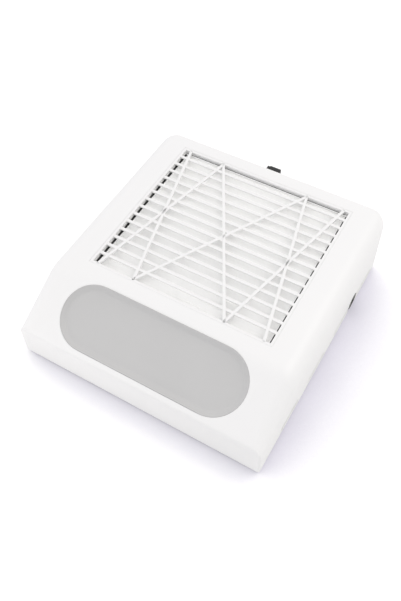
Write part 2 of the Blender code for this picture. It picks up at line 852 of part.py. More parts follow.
def filter_media():
    """Pleated paper: a zigzag with its folds from left to right, resting on the frame's lip."""
    half, front, rear = well_span()
    inset = CLEARANCE + FRAME_WALL + CLEARANCE
    start, end = front + inset, rear - inset
    high = -FILTER_DROP - PLEAT_DROP
    low = -FILTER_DROP - FILTER_HEIGHT + FRAME_LIP_THICKNESS + CLEARANCE
    folds = 2 * PLEAT_COUNT
    upper = []
    lower = []
    for fold in range(folds + 1):
        y = start + (end - start) * fold / folds
        crest = high if fold % 2 else low + PLEAT_FOLD
        upper.append((y, crest))
        lower.append((y, crest - PLEAT_FOLD))
    across = half - inset
    return prisms("filter_media", [upper + lower[::-1]], -across, across,
                  material("filter_paper", (0.90, 0.90, 0.89), 0.9), profile_frame(top_frame()))


def filter_seal():
    """Foam strip glued under the filter frame, squeezed on the well's ledge."""
    frame = top_frame()
    half, front, rear = well_span()
    half, front, rear = half - CLEARANCE, front + CLEARANCE, rear - CLEARANCE
    top = -FILTER_DROP - FILTER_HEIGHT - CLEARANCE
    made = boxes("filter_seal", [((-half, front, top - SEAL_THICKNESS), (half, rear, top))],
                 material("seal_foam", (0.05, 0.05, 0.05), 0.95), frame)
    inner = boxes("filter_seal_window",
                  [((-half + SEAL_WIDTH, front + SEAL_WIDTH, top - OVERRUN),
                    (half - SEAL_WIDTH, rear - SEAL_WIDTH, OVERRUN))], frame=frame)
    cut(made, inner)
    return made


# Hand rest

def hand_rest_pad():
    """Soft pad in its seat on the slope, flush at its rim and dished inside a rounded border."""
    levels = [(0.0, -REST_RECESS + CLEARANCE), (0.0, 0.0)]
    for share, fall in ((0.22, 0.40), (0.48, 0.74), (0.74, 0.94), (1.0, 1.0)):
        levels.append((REST_EDGE * share, -REST_DISH * fall))
    rings = []
    for inset, height in levels:
        outline = stadium(REST_LENGTH - 2 * inset, REST_WIDTH - 2 * inset)
        rings.append([(x, y, height) for x, y in outline])
    return stack("hand_rest_pad", rings, material("soft_grey_pad", (0.56, 0.56, 0.55), 0.7),
                 slope_frame())


# Bottom cover and feet

def bottom_cover():
    inset = WALL + CLEARANCE
    finish = white_plastic()
    base = prisms("bottom_cover", [plan_outline(inset)], FOOT_HEIGHT, BASE_TOP + LIP_HEIGHT, finish)
    inner = prisms("base_space", [plan_outline(inset + LIP_THICKNESS)], BASE_TOP,
                   BASE_TOP + LIP_HEIGHT + OVERRUN)
    cut(base, inner)
    sunk = FOOT_HEIGHT + BASE_THICKNESS / 2
    bosses = rods("screw_bosses", post_centres(), BASE_BOSS_RADIUS, sunk,
                  BASE_TOP + BASE_BOSS_HEIGHT)
    motor_bosses = rods("motor_bosses", motor_screw_centres(), MOTOR_BOSS_RADIUS, sunk,
                        BASE_TOP + MOTOR_BOSS_HEIGHT)
    board_posts = rods("board_posts", board_screw_centres(), BOARD_POST_RADIUS, sunk,
                       BASE_TOP + BOARD_POST_HEIGHT, steps=16)
    join(base, bosses, motor_bosses, board_posts, inlet_cradle())
    heads = rods("screw_wells", post_centres(), SCREW_HEAD_RADIUS + CLEARANCE,
                 FOOT_HEIGHT - OVERRUN, FOOT_HEIGHT + SCREW_HEAD + 2 * CLEARANCE)
    holes = rods("screw_holes", post_centres(), SCREW_PILOT, FOOT_HEIGHT - OVERRUN,
                 BASE_TOP + BASE_BOSS_HEIGHT + OVERRUN, steps=SCREW_STEPS)
    motor_pilots = rods("motor_pilots", motor_screw_centres(), SCREW_PILOT,
                        FOOT_HEIGHT + BASE_THICKNESS / 2, BASE_TOP + MOTOR_BOSS_HEIGHT + OVERRUN,
                        steps=SCREW_STEPS)
    board_pilots = rods("board_pilots", board_screw_centres(), SCREW_PILOT,
                        BASE_TOP, BASE_TOP + BOARD_POST_HEIGHT + OVERRUN, steps=SCREW_STEPS)
    feet = rods("foot_seats", foot_centres().values(), FOOT_RADIUS + CLEARANCE,
                FOOT_HEIGHT - OVERRUN, FOOT_HEIGHT + FOOT_SEAT)
    cut(base, heads, holes, motor_pilots, board_pilots, feet, inlet_bed())
    return base


def inlet_cradle():
    """Upright block of the bottom cover that the inlet's body lies in."""
    half = INLET_BODY_RADIUS + CRADLE_SHOULDER
    start = inlet_tail_x() + INLET_LENGTH / 3
    return boxes("inlet_cradle", [((start, inlet_y() - half, FOOT_HEIGHT + BASE_THICKNESS / 2),
                                   (start + CRADLE_LENGTH, inlet_y() + half, INLET_LEVEL))])


def inlet_bed():
    """Bore through the cradle and through the lip, for the inlet's round body."""
    radius = INLET_BODY_RADIUS + CLEARANCE
    return rods("inlet_bed", [(0, 0)], radius, -INLET_LENGTH - OVERRUN, OVERRUN,
                frame=inlet_frame())


def feet():
    finish = material("grey_rubber", (0.10, 0.10, 0.10), 0.85)
    top = FOOT_HEIGHT + FOOT_SEAT - CLEARANCE
    profile = [(0, top), (FOOT_RADIUS, top), (FOOT_RADIUS, FOOT_HEIGHT - CLEARANCE),
               (FOOT_RADIUS - FOOT_TAPER, 0), (0, 0)]
    for place_name, (x, y) in foot_centres().items():
        turned("foot_" + place_name, profile, finish, Matrix.Translation((x, y, 0)))


# Screws

def pan_screws(name, centres, seat, length, upward):
    """Screws with a domed head, one object for each centre. Upward ones have the head below."""
    turn = Matrix.Rotation(0 if upward else math.pi, 4, "X")
    dome = SCREW_HEAD_RADIUS * SCREW_DOME_SHARE
    profile = [(0, length), (SCREW_RADIUS, length), (SCREW_RADIUS, -CLEARANCE),
               (SCREW_HEAD_RADIUS, -CLEARANCE), (SCREW_HEAD_RADIUS, -CLEARANCE - SCREW_HEAD / 2),
               (dome, -CLEARANCE - SCREW_HEAD), (0, -CLEARANCE - SCREW_HEAD)]
    for number, (x, y) in enumerate(centres, 1):
        frame = Matrix.Translation((x, y, seat)) @ turn
        turned(f"{name}_{number}", profile, steel(), frame, SCREW_STEPS)


# Fan deck

def fan_deck():
    """Level plate under the well, with a flared mouth over the impeller and four screw ears."""
    top, bottom = deck_top(), deck_bottom()
    half, front, rear = deck_span()
    deck = prisms("fan_deck", [rounded_rectangle(-half, half, front, rear, DECK_CORNER)], bottom,
                  top, material("deck_plastic", (0.80, 0.80, 0.80), 0.5))
    ears = rods("deck_ears", ear_centres(), DECK_EAR_RADIUS, bottom - DECK_EAR_STEP,
                top - DECK_EAR_STEP)
    outer = MOUTH_RADIUS + MOUTH_FLARE + 2 * MOUTH_THICKNESS
    hole = rods("mouth_hole", [(0, FAN_Y)], outer - MOUTH_THICKNESS, bottom - OVERRUN,
                top + OVERRUN, steps=FAN_STEPS)
    lip = bottom - FAN_GAP - FAN_LIP_OVERLAP
    inside = arc((MOUTH_RADIUS + MOUTH_FLARE, top + MOUTH_RISE - MOUTH_FLARE), MOUTH_FLARE,
                 math.pi, math.pi / 2, 4)
    profile = ([(outer, top + MOUTH_RISE), (outer, bottom + MOUTH_RISE),
                (MOUTH_RADIUS + 2 * MOUTH_THICKNESS, bottom - FAN_GAP / 2),
                (MOUTH_RADIUS + MOUTH_THICKNESS, lip), (MOUTH_RADIUS, lip)]
               + inside)
    mouth = turned("deck_mouth", profile, frame=Matrix.Translation((0, FAN_Y, 0)), steps=FAN_STEPS)
    pilots = rods("ear_holes", ear_centres(), SCREW_PILOT, bottom - OVERRUN, top + OVERRUN,
                  steps=SCREW_STEPS)
    cut(deck, hole)
    join(deck, mouth, ears)
    cut(deck, pilots)
    return deck


# Impeller and shaft

def motor_base():
    """Level of the motor can's underside."""
    return BASE_TOP + MOTOR_BOSS_HEIGHT + PLATE_THICKNESS + 2 * CLEARANCE


def dome_top():
    """The fan's dome ends just under the deck, and the motor fills the dome."""
    return deck_top() - DOME_DROP


def nose_top():
    return dome_top() - DOME_SKIN - DOME_GAP


def motor_top():
    return nose_top() - MOTOR_NOSE


def shaft_seat():
    """The shaft stands in a blind bore of the motor."""
    return blend(nose_top(), motor_base(), SHAFT_SUNK_SHARE)


def shroud_top():
    return deck_bottom() - FAN_GAP


def disc_bottom():
    return motor_base() + FAN_LIFT


def hub_top():
    return dome_top() + HUB_HEIGHT


def fan_frame():
    return Matrix.Translation((0, FAN_Y, 0))


def shroud_profile():
    inner = MOUTH_RADIUS + MOUTH_THICKNESS + FAN_EYE_GAP
    top = shroud_top()
    return [(inner, top), (FAN_RADIUS, top - SHROUD_FALL), (FAN_RADIUS, top - SHROUD_FALL - FAN_SKIN),
            (inner, top - FAN_SKIN)]


def shroud_height(radius):
    """Middle of the shroud's skin at a radius."""
    inner, top = shroud_profile()[0]
    share = (radius - inner) / (FAN_RADIUS - inner)
    return top - FAN_SKIN / 2 - SHROUD_FALL * share


def add_blade(bm, start_angle):
    """One backward curved blade, lofted outwards from the eye, sunk in the disc and the shroud."""
    stations = 4
    low = disc_bottom() + FAN_SKIN / 2
    middle = []
    for step in range(stations + 1):
        share = step / stations
        radius = blend(shroud_profile()[0][0] + BLADE_INSET, FAN_RADIUS - BLADE_TIP_INSET, share)
        angle = start_angle + BLADE_SWEEP * share ** 1.25
        middle.append((radius, Vector((radius * math.cos(angle), radius * math.sin(angle), 0))))
    sections = []
    for step, (radius, point) in enumerate(middle):
        before = middle[max(step - 1, 0)][1]
        after = middle[min(step + 1, stations)][1]
        along = (after - before).normalized()
        across = Vector((-along.y, along.x, 0)) * BLADE_THICKNESS / 2
        high = shroud_height(radius)
        corners = [(point - across, low), (point + across, low), (point + across, high),
                   (point - across, high)]
        sections.append([bm.verts.new((corner.x, corner.y, z)) for corner, z in corners])
    bm.faces.new(sections[0])
    bm.faces.new(sections[-1])
    for near, far in zip(sections, sections[1:]):
        for side in range(4):
            after = (side + 1) % 4
            bm.faces.new((near[side], near[after], far[after], far[side]))


def impeller():
    """Disc with a domed hub over the motor, backward curved blades and a shroud ring."""
    bore = SHAFT_RADIUS + CLEARANCE
    inner = MOTOR_RADIUS + DOME_GAP
    outer = inner + DOME_SKIN
    low, top, roof = disc_bottom(), dome_top(), dome_top() - DOME_SKIN
    shoulder = (outer - HUB_RADIUS) / 3
    profile = [(bore, hub_top()), (HUB_RADIUS, hub_top()), (HUB_RADIUS, top),
               (outer - shoulder, top), (outer - shoulder / 4, top - shoulder / 2),
               (outer, top - shoulder), (outer, low + 2 * FAN_SKIN), (outer + FAN_SKIN, low + FAN_SKIN),
               (FAN_RADIUS, low + FAN_SKIN), (FAN_RADIUS, low), (inner, low),
               (inner, roof - shoulder), (inner - shoulder / 4, roof - shoulder / 2),
               (inner - shoulder, roof), (bore, roof)]
    wheel = turned("impeller", profile, material("fan_plastic", (0.16, 0.16, 0.17), 0.45),
                   fan_frame(), FAN_STEPS)
    bm = bmesh.new()
    for index in range(BLADE_COUNT):
        add_blade(bm, 2 * math.pi * index / BLADE_COUNT)
    blades = place("impeller_blades", bm, frame=fan_frame())
    shroud = turned("impeller_shroud", shroud_profile(), frame=fan_frame(), steps=FAN_STEPS)
    join(wheel, blades, shroud)
    return wheel


def fan_shaft():
    top = hub_top() + CLEARANCE + NUT_HEIGHT + SHAFT_END
    bottom = shaft_seat() + CLEARANCE
    profile = [(0, top), (SHAFT_RADIUS - SHAFT_END / 2, top), (SHAFT_RADIUS, top - SHAFT_END / 2),
               (SHAFT_RADIUS, bottom), (0, bottom)]
    return turned("fan_shaft", profile, steel(), fan_frame(), 16)


def impeller_nut():
    bore = SHAFT_RADIUS + CLEARANCE
    low = hub_top() + CLEARANCE
    nut = rods("impeller_nut", [(0, 0)], NUT_RADIUS, low, low + NUT_HEIGHT, brass(), fan_frame(), 6)
    hole = rods("nut_hole", [(0, 0)], bore, low - OVERRUN, low + NUT_HEIGHT + OVERRUN,
                frame=fan_frame(), steps=16)
    cut(nut, hole)
    return nut


# Motor

def motor_can():
    bore = SHAFT_RADIUS + CLEARANCE
    low = motor_base()
    top = motor_top()
    high = nose_top()
    chamfer = MOTOR_CHAMFER
    seat = BUSH_RADIUS + CLEARANCE
    profile = [(0, shaft_seat()), (bore, shaft_seat()), (bore, high - BUSH_HEIGHT),
               (seat, high - BUSH_HEIGHT), (seat, high), (MOTOR_NOSE_RADIUS, high),
               (MOTOR_NOSE_RADIUS, top), (MOTOR_RADIUS - chamfer, top),
               (MOTOR_RADIUS, top - chamfer), (MOTOR_RADIUS, low + chamfer),
               (MOTOR_RADIUS - chamfer, low), (0, low)]
    return turned("motor_can", profile, material("motor_steel", (0.42, 0.42, 0.43), 0.4, 1.0),
                  fan_frame(), 24)


def shaft_bush():
    bore = SHAFT_RADIUS + CLEARANCE
    high = nose_top()
    low = high - BUSH_HEIGHT + CLEARANCE
    profile = [(BUSH_RADIUS, high), (BUSH_RADIUS, low), (bore, low), (bore, high)]
    return turned("shaft_bush", profile, brass(), fan_frame(), 16)


def motor_screw_centres():
    turns = [2 * math.pi * index / MOTOR_SCREW_COUNT + math.pi / 2
             for index in range(MOTOR_SCREW_COUNT)]
    return [(MOTOR_BOSS_CIRCLE * math.cos(turn), FAN_Y + MOTOR_BOSS_CIRCLE * math.sin(turn))
            for turn in turns]


def plate_bottom():
    return BASE_TOP + MOTOR_BOSS_HEIGHT + CLEARANCE


def motor_plate():
    low = plate_bottom()
    plate = rods("motor_plate", [(0, FAN_Y)], PLATE_RADIUS, low, low + PLATE_THICKNESS, steel(),
                 steps=24)
    holes = rods("plate_holes", motor_screw_centres(), SCREW_PILOT, low - OVERRUN,
                 low + PLATE_THICKNESS + OVERRUN, steps=SCREW_STEPS)
    cut(plate, holes)
    return plate


# Driver board

def board_span():
    """Left, right, front and rear edge of the board."""
    front = FRONT_Y + BOARD_FRONT_INSET
    return BOARD_LEFT, BOARD_LEFT + BOARD_LENGTH, front, front + BOARD_WIDTH


def board_screw_centres():
    left, right, front, rear = board_span()
    inset = BOARD_POST_INSET
    return [(x, y) for x in (left + inset, right - inset) for y in (front + inset, rear - inset)]


def board_level():
    return BASE_TOP + BOARD_POST_HEIGHT + CLEARANCE


def board_top():
    return board_level() + BOARD_THICKNESS


def driver_board():
    left, right, front, rear = board_span()
    low = board_level()
    board = boxes("driver_board", [((left, front, low), (right, rear, low + BOARD_THICKNESS))],
                  material("circuit_board", (0.03, 0.16, 0.07), 0.5))
    holes = rods("board_holes", board_screw_centres(), SCREW_PILOT, low - OVERRUN,
                 low + BOARD_THICKNESS + OVERRUN, steps=SCREW_STEPS)
    cut(board, holes)
    return board


def board_capacitor():
    left, right, front, rear = board_span()
    low = board_top() + CLEARANCE
    high = low + CAPACITOR_HEIGHT
    edge = CAPACITOR_RADIUS / 8
    profile = [(0, high), (CAPACITOR_RADIUS - edge, high), (CAPACITOR_RADIUS, high - edge),
               (CAPACITOR_RADIUS, low), (0, low)]
    spot = (blend(left, right, CAPACITOR_X_SHARE), blend(front, rear, CAPACITOR_Y_SHARE), 0)
    return turned("board_capacitor", profile, material("capacitor_sleeve", (0.05, 0.05, 0.09), 0.35),
                  Matrix.Translation(spot), 20)


def board_heat_sink():
    """Finned block that cools the motor's switching transistor."""
    left, right, front, rear = board_span()
    x = blend(left, right, SINK_X_SHARE) - SINK_LENGTH / 2
    y = blend(front, rear, SINK_Y_SHARE) - SINK_WIDTH / 2
    low = board_top() + CLEARANCE
    sink = boxes("board_heat_sink", [((x, y, low), (x + SINK_LENGTH, y + SINK_WIDTH,
                                                    low + SINK_HEIGHT))],
                 material("fin_aluminium", (0.62, 0.63, 0.64), 0.35, 1.0))
    pitch = SINK_LENGTH / (2 * SINK_FIN_COUNT - 1)
    gaps = []
    for index in range(SINK_FIN_COUNT - 1):
        start = x + pitch * (2 * index + 1)
        gaps.append(((start, y - OVERRUN, low + SINK_HEIGHT * SINK_FLOOR_SHARE),
                     (start + pitch, y + SINK_WIDTH + OVERRUN, low + SINK_HEIGHT + OVERRUN)))
    cut(sink, boxes("sink_gaps", gaps))
    return sink


def plug_spots():
    """Middle of the rear face of each lead connector, left to right."""
    left, right, _, rear = board_span()
    z = board_top() + CLEARANCE + PLUG_HEIGHT / 2
    return [Vector((blend(left, right, share), rear, z)) for share in PLUG_SHARES]


def board_connectors():
    half = PLUG_WIDTH / 2
    rise = PLUG_HEIGHT / 2
    finish = material("connector_nylon", (0.83, 0.80, 0.72), 0.5)
    for purpose, spot in zip(("switch", "motor", "inlet"), plug_spots()):
        boxes("connector_" + purpose, [((spot.x - half, spot.y - PLUG_DEPTH, spot.z - rise),
                                        (spot.x + half, spot.y, spot.z + rise))], finish)


# Power inlet

def dc_inlet():
    face = -INLET_INSET
    back = face - INLET_FLANGE
    tail = face - INLET_LENGTH
    edge = INLET_FLANGE / 4
    profile = [(0, face - INLET_BORE_DEPTH), (INLET_BORE_RADIUS, face - INLET_BORE_DEPTH),
               (INLET_BORE_RADIUS, face), (INLET_RADIUS - edge, face),
               (INLET_RADIUS, face - edge), (INLET_RADIUS, back), (INLET_BODY_RADIUS, back),
               (INLET_BODY_RADIUS, tail), (0, tail)]
    return turned("dc_inlet", profile, black_plastic(), inlet_frame())


def inlet_pin():
    floor = -INLET_INSET - INLET_BORE_DEPTH + CLEARANCE
    tip = -INLET_INSET - INLET_PIN_SHORT
    profile = [(0, tip), (INLET_PIN_RADIUS / 2, tip), (INLET_PIN_RADIUS, tip - INLET_PIN_RADIUS / 2),
               (INLET_PIN_RADIUS, floor), (0, floor)]
    return turned("inlet_pin", profile, brass(), inlet_frame(), 12)


def inlet_terminals():
    end = inlet_tail_x() - CLEARANCE
    y = inlet_y()
    for side, side_name in ((-1, "lower"), (1, "upper")):
        z = INLET_LEVEL + side * TAB_SPACING / 2
        boxes("inlet_terminal_" + side_name,
              [((end - TAB_LENGTH, y - TAB_WIDTH / 2, z - TAB_THICKNESS / 2),
                (end, y + TAB_WIDTH / 2, z + TAB_THICKNESS / 2))], brass())


# Power switch

def switch_housing():
    """Housing with a raised bezel, which snaps into the rear wall and takes the rocker."""
    z = switch_z()
    face = switch_face()
    back = REAR_Y - SWITCH_POCKET + CLEARANCE
    half_width = SWITCH_WIDTH / 2
    half_height = SWITCH_HEIGHT / 2
    body_width = half_width - SWITCH_RIM
    body_height = half_height - SWITCH_RIM
    made = boxes("switch_housing", [((-half_width, back, z - half_height),
                                     (half_width, face, z + half_height))], black_plastic())
    body = boxes("switch_body", [((-body_width, face - SWITCH_DEPTH, z - body_height),
                                  (body_width, (face + back) / 2, z + body_height))])
    space_height = ROCKER_RADIUS + 2 * CLEARANCE
    space_width = ROCKER_WIDTH / 2 + CLEARANCE
    deepest = ROCKER_RADIUS * math.sin(math.asin(ROCKER_FLOOR / ROCKER_RADIUS) + ROCKER_THROW)
    floor = rocker_pivot().y - deepest - CLEARANCE
    space = boxes("switch_space", [((-space_width, floor, z - space_height),
                                    (space_width, face + OVERRUN, z + space_height))])
    join(made, body)
    cut(made, space)
    return made


def power_rocker():
    """Rocker with round ends about its pivot and a dished face, its upper end out at rest."""
    inner_angle = math.asin(ROCKER_FLOOR / ROCKER_RADIUS)
    lip = ROCKER_LIP_ANGLE
    quarter = math.pi / 2
    upper = arc((0, 0), ROCKER_RADIUS, quarter + inner_angle, quarter - lip, 5)
    lower = arc((0, 0), ROCKER_RADIUS, -quarter + lip, -quarter - inner_angle, 5)
    depth = ROCKER_RADIUS * math.sin(lip)
    outline = upper + [(depth - ROCKER_DISH, 0)] + lower
    turn = Matrix.Rotation(-ROCKER_THROW, 4, "X")
    frame = Matrix.Translation(rocker_pivot()) @ turn
    return prisms("power_rocker", [outline], -ROCKER_WIDTH / 2, ROCKER_WIDTH / 2, black_plastic(),
                  profile_frame(frame))


def switch_terminals():
    """Two tabs under the switch, bent down so that they clear the filter well."""
    bottom = switch_z() - SWITCH_HEIGHT / 2 + SWITCH_RIM - CLEARANCE
    y = switch_face() - SWITCH_DEPTH + TAB_WIDTH / 2
    for side, side_name in ((-1, "left"), (1, "right")):
        x = side * TAB_SPACING / 2
        boxes("switch_terminal_" + side_name,
              [((x - TAB_WIDTH / 2, y - TAB_THICKNESS / 2, bottom - TAB_LENGTH),
                (x + TAB_WIDTH / 2, y + TAB_THICKNESS / 2, bottom))], brass())


# Leads

def smooth_route(points):
    """Points at even spacing on a curve that passes through the route's own points."""
    route = [points[0]] + points + [points[-1]]
    result = []
    for index in range(1, len(route) - 2):
        before, start, end, after = route[index - 1:index + 3]
        pieces = max(1, round((end - start).length / LEAD_SPACING))
        for piece in range(pieces):
            share = piece / pieces
            result.append(0.5 * ((2 * start) + (end - before) * share
                                 + (2 * before - 5 * start + 4 * end - after) * share ** 2
                                 + (3 * start - before - 3 * end + after) * share ** 3))
    return result + [points[-1]]


def lead(name, points, colour):
    """Two-core lead inside the housing: a tube along a smooth route."""
    curve = bpy.data.curves.new(name, "CURVE")
    curve.dimensions = "3D"
    curve.bevel_depth = LEAD_RADIUS
    curve.bevel_resolution = 2
    curve.use_fill_caps = True
    route = smooth_route([Vector(point) for point in points])
    spline = curve.splines.new("POLY")
    spline.points.add(len(route) - 1)
    for knot, point in zip(spline.points, route):
        knot.co = (*point, 1.0)
    return keep(bpy.data.objects.new(name, curve), material(name + "_sleeve", colour, 0.5))


def lead_inlet():
    """From the inlet's terminals forward along the right lane to the right connector."""
    floor = BASE_TOP + LEAD_GAP + LEAD_RADIUS
    spot = plug_spots()[2]
    gap = CLEARANCE
    start = inlet_tail_x() - TAB_LENGTH - 2 * gap
    lane = LEAD_LANE - 2 * LEAD_RADIUS
    y = inlet_y()
    near = spot.y + gap
    points = [(start, y, INLET_LEVEL), (start - 2 * LEAD_RADIUS, y, INLET_LEVEL),
              (lane, y - TAB_LENGTH, floor), (lane, y / 2, floor), (lane, 0, floor),
              (lane, near / 2, floor), (blend(lane, spot.x, 0.4), near + 6 * TAB_LENGTH * 0.5, floor),
              (spot.x, near + 2 * TAB_LENGTH, blend(floor, spot.z, 0.7)),
              (spot.x, near + TAB_LENGTH / 2, spot.z), (spot.x, near, spot.z)]
    return lead("lead_inlet", points, (0.02, 0.02, 0.02))


def lead_switch():
    """From the switch down behind the well, then along the left lane to the left connector."""
    floor = BASE_TOP + LEAD_GAP + LEAD_RADIUS
    spot = plug_spots()[0]
    top = switch_z() - SWITCH_HEIGHT / 2 + SWITCH_RIM - TAB_LENGTH - 3 * CLEARANCE
    y = switch_face() - SWITCH_DEPTH + TAB_WIDTH / 2
    near = spot.y + CLEARANCE
    lane = -LEAD_LANE
    points = [(0, y, top), (0, y, top - TAB_LENGTH), (0, y, blend(floor, top, 0.5)),
              (-TAB_LENGTH, y, floor + TAB_LENGTH), (-3 * TAB_LENGTH, y - TAB_LENGTH, floor)]
    points += [(lane * across, y * along, floor) for across, along in LEAD_REAR_SHARES]
    points += [(lane * across, near * along, floor) for across, along in LEAD_FRONT_SHARES]
    points += [(spot.x, near + 2 * TAB_LENGTH, blend(floor, spot.z, 0.7)),
               (spot.x, near + TAB_LENGTH / 2, spot.z), (spot.x, near, spot.z)]
    return lead("lead_switch", points, (0.55, 0.02, 0.02))


def lead_motor():
    """From the side of the motor forward under the impeller to the middle connector."""
    spot = plug_spots()[1]
    level = motor_base() + 2 * LEAD_RADIUS
    near = spot.y + CLEARANCE
    start = FAN_Y - MOTOR_RADIUS - CLEARANCE
    points = [(0, start, level), (0, start - TAB_LENGTH, level),
              (spot.x * 0.25, blend(start, near, 0.4), level),
              (spot.x * 0.7, blend(start, near, 0.7), level),
              (spot.x, near + 2 * TAB_LENGTH, blend(level, spot.z, 0.7)),
              (spot.x, near + TAB_LENGTH / 2, spot.z), (spot.x, near, spot.z)]
    return lead("lead_motor", points, (0.03, 0.10, 0.40))


def case_screws():
    seat = FOOT_HEIGHT + SCREW_HEAD + 2 * CLEARANCE
    pan_screws("case_screw", post_centres(), seat,
               BASE_TOP + BASE_BOSS_HEIGHT + SCREW_BITE - seat, True)


def deck_screws():
    seat = deck_bottom() - DECK_EAR_STEP
    pan_screws("deck_screw", ear_centres(), seat, DECK_THICKNESS + SCREW_BITE, True)


def motor_screws():
    seat = plate_bottom() + PLATE_THICKNESS
    depth = PLATE_THICKNESS + MOTOR_BOSS_HEIGHT
    pan_screws("motor_screw", motor_screw_centres(), seat, depth, False)


def board_screws():
    seat = board_top()
    pan_screws("board_screw", board_screw_centres(), seat,
               BOARD_THICKNESS + BOARD_POST_HEIGHT / 2, False)


clear_scene()
PARTS = new_collection(COLLECTION_NAME)
CUTTERS = new_collection("cutters")
top_cover()
bottom_cover()
feet()
grille_panel()
filter_frame()
filter_media()
filter_seal()
hand_rest_pad()
fan_deck()
impeller()
fan_shaft()
impeller_nut()
motor_can()
shaft_bush()
motor_plate()
driver_board()
board_capacitor()
board_heat_sink()
board_connectors()
dc_inlet()
inlet_pin()
inlet_terminals()
switch_housing()
power_rocker()
switch_terminals()
lead_inlet()
lead_switch()
lead_motor()
case_screws()
deck_screws()
motor_screws()
board_screws()
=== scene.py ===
import math

import bpy
from mathutils import Matrix, Vector


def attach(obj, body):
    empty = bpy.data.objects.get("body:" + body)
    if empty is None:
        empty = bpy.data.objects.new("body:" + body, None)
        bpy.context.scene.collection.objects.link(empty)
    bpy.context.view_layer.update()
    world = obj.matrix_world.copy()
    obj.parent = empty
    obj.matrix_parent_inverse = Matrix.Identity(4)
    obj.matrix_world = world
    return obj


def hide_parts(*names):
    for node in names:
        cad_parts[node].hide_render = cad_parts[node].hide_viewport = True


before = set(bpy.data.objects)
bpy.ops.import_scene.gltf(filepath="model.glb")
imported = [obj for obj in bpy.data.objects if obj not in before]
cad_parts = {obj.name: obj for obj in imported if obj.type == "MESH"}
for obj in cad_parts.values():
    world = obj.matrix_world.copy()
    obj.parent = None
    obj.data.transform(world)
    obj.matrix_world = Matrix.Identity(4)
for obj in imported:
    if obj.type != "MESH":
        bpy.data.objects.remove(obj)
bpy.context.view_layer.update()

# Camera above the front right corner, as the photograph was taken. The image is 401 by 601, so
# the 36 mm of the sensor lie along its height.

CAMERA_PLACE = (0.1963, -0.3505, 0.5517)
CAMERA_TURNS = (36.293, 0.360, 30.152)
SENSOR_LENGTH = 36.0
FOCAL_LENGTH = 39.66

bpy.ops.object.camera_add(location=CAMERA_PLACE,
                          rotation=[math.radians(turn) for turn in CAMERA_TURNS])
camera = bpy.context.object
camera.name = "photo_camera"
camera.data.sensor_width = SENSOR_LENGTH
camera.data.lens = FOCAL_LENGTH
bpy.context.scene.camera = camera


# Light tent: a pale sky, a little brighter towards the left, a large soft box high on the right,
# behind the object, and a small fill card low at the front left, which pales the front wall
# towards that side. The camera and the glossy surfaces see the tent as plain white.

SKY_LEVEL = 0.875
BRIGHT_SIDE = (-0.16, -0.04, 0.0)


def linear(code):
    """The linear colour of an sRGB hex code."""
    shares = [int(code[place:place + 2], 16) / 255 for place in (0, 2, 4)]
    return tuple(share / 12.92 if share <= 0.04045 else ((share + 0.055) / 1.055) ** 2.4
                 for share in shares) + (1.0,)


def add_node(tree, kind, inputs, **settings):
    """A node with its settings, and each input set to a value or linked to an output."""
    node = tree.nodes.new(kind)
    for name, value in settings.items():
        setattr(node, name, value)
    for name, value in inputs.items():
        if isinstance(value, bpy.types.NodeSocket):
            tree.links.new(value, node.inputs[name])
        else:
            node.inputs[name].default_value = value
    return node


world = bpy.data.worlds.new("light_tent")
world.use_nodes = True
tree = world.node_tree
tree.nodes.clear()
rays = add_node(tree, "ShaderNodeLightPath", {})
seen = add_node(tree, "ShaderNodeMath", {0: rays.outputs["Is Camera Ray"],
                                         1: rays.outputs["Is Glossy Ray"]}, operation="MAXIMUM")
gaze = add_node(tree, "ShaderNodeTexCoord", {}).outputs["Generated"]
towards = add_node(tree, "ShaderNodeVectorMath", {0: gaze, 1: BRIGHT_SIDE},
                   operation="DOT_PRODUCT")
level = add_node(tree, "ShaderNodeMath", {0: towards.outputs["Value"], 1: SKY_LEVEL},
                 operation="ADD")
sky = add_node(tree, "ShaderNodeBackground", {"Color": linear("FDFCFF"),
                                              "Strength": level.outputs[0]})
backdrop = add_node(tree, "ShaderNodeBackground", {"Color": linear("FFFFFF"), "Strength": 1.0})
mixed = add_node(tree, "ShaderNodeMixShader", {0: seen.outputs[0], 1: sky.outputs[0],
                                               2: backdrop.outputs[0]})
add_node(tree, "ShaderNodeOutputWorld", {"Surface": mixed.outputs[0]})
bpy.context.scene.world = world
bpy.context.scene.view_settings.view_transform = "Standard"

for name, place, aim, width, height, power in (
        ("soft_box", (1.34, 1.12, 2.68), (0, 0, 0.04), 1.8, 1.8, 26.0),
        ("fill_card", (-0.34, -0.46, 0.10), (-0.06, -0.10, 0.03), 0.20, 0.15, 0.20)):
    bpy.ops.object.light_add(type="AREA", location=place)
    lamp = bpy.context.object
    lamp.name = name
    lamp.data.shape = "RECTANGLE"
    lamp.data.size = width
    lamp.data.size_y = height
    lamp.data.energy = power
    lamp.data.color = linear("FFFCF4")[:3]
    lamp.rotation_euler = (Vector(aim) - lamp.location).to_track_quat("-Z", "Y").to_euler()


# Table: a sheet of white background paper, far larger than the view. The camera sees it lifted
# to the photograph's white, with a soft lilac shade in front and to the right, where the
# housing stands in the way of the tent's rear and left side.

TABLE_SIZE = 8.0
LIT_SIDE = {"X": -0.65, "Y": 0.28, "Z": 0.70}
SHADE_REACH = 0.12
FULL_SHADE = 0.22
NO_SHADE = 0.80
PAPER_LIFT = 0.19


def new_material(name):
    """A material with only its shader and output, and the place of each point in metres."""
    material = bpy.data.materials.new(name)
    material.use_nodes = True
    tree = material.node_tree
    place = add_node(tree, "ShaderNodeTexCoord", {}).outputs["Object"]
    return material, tree, tree.nodes["Principled BSDF"], place


def set_shader(shader, **values):
    """Numbers and colours that are the same all over the surface."""
    for name, value in values.items():
        shader.inputs[name.replace("_", " ")].default_value = value


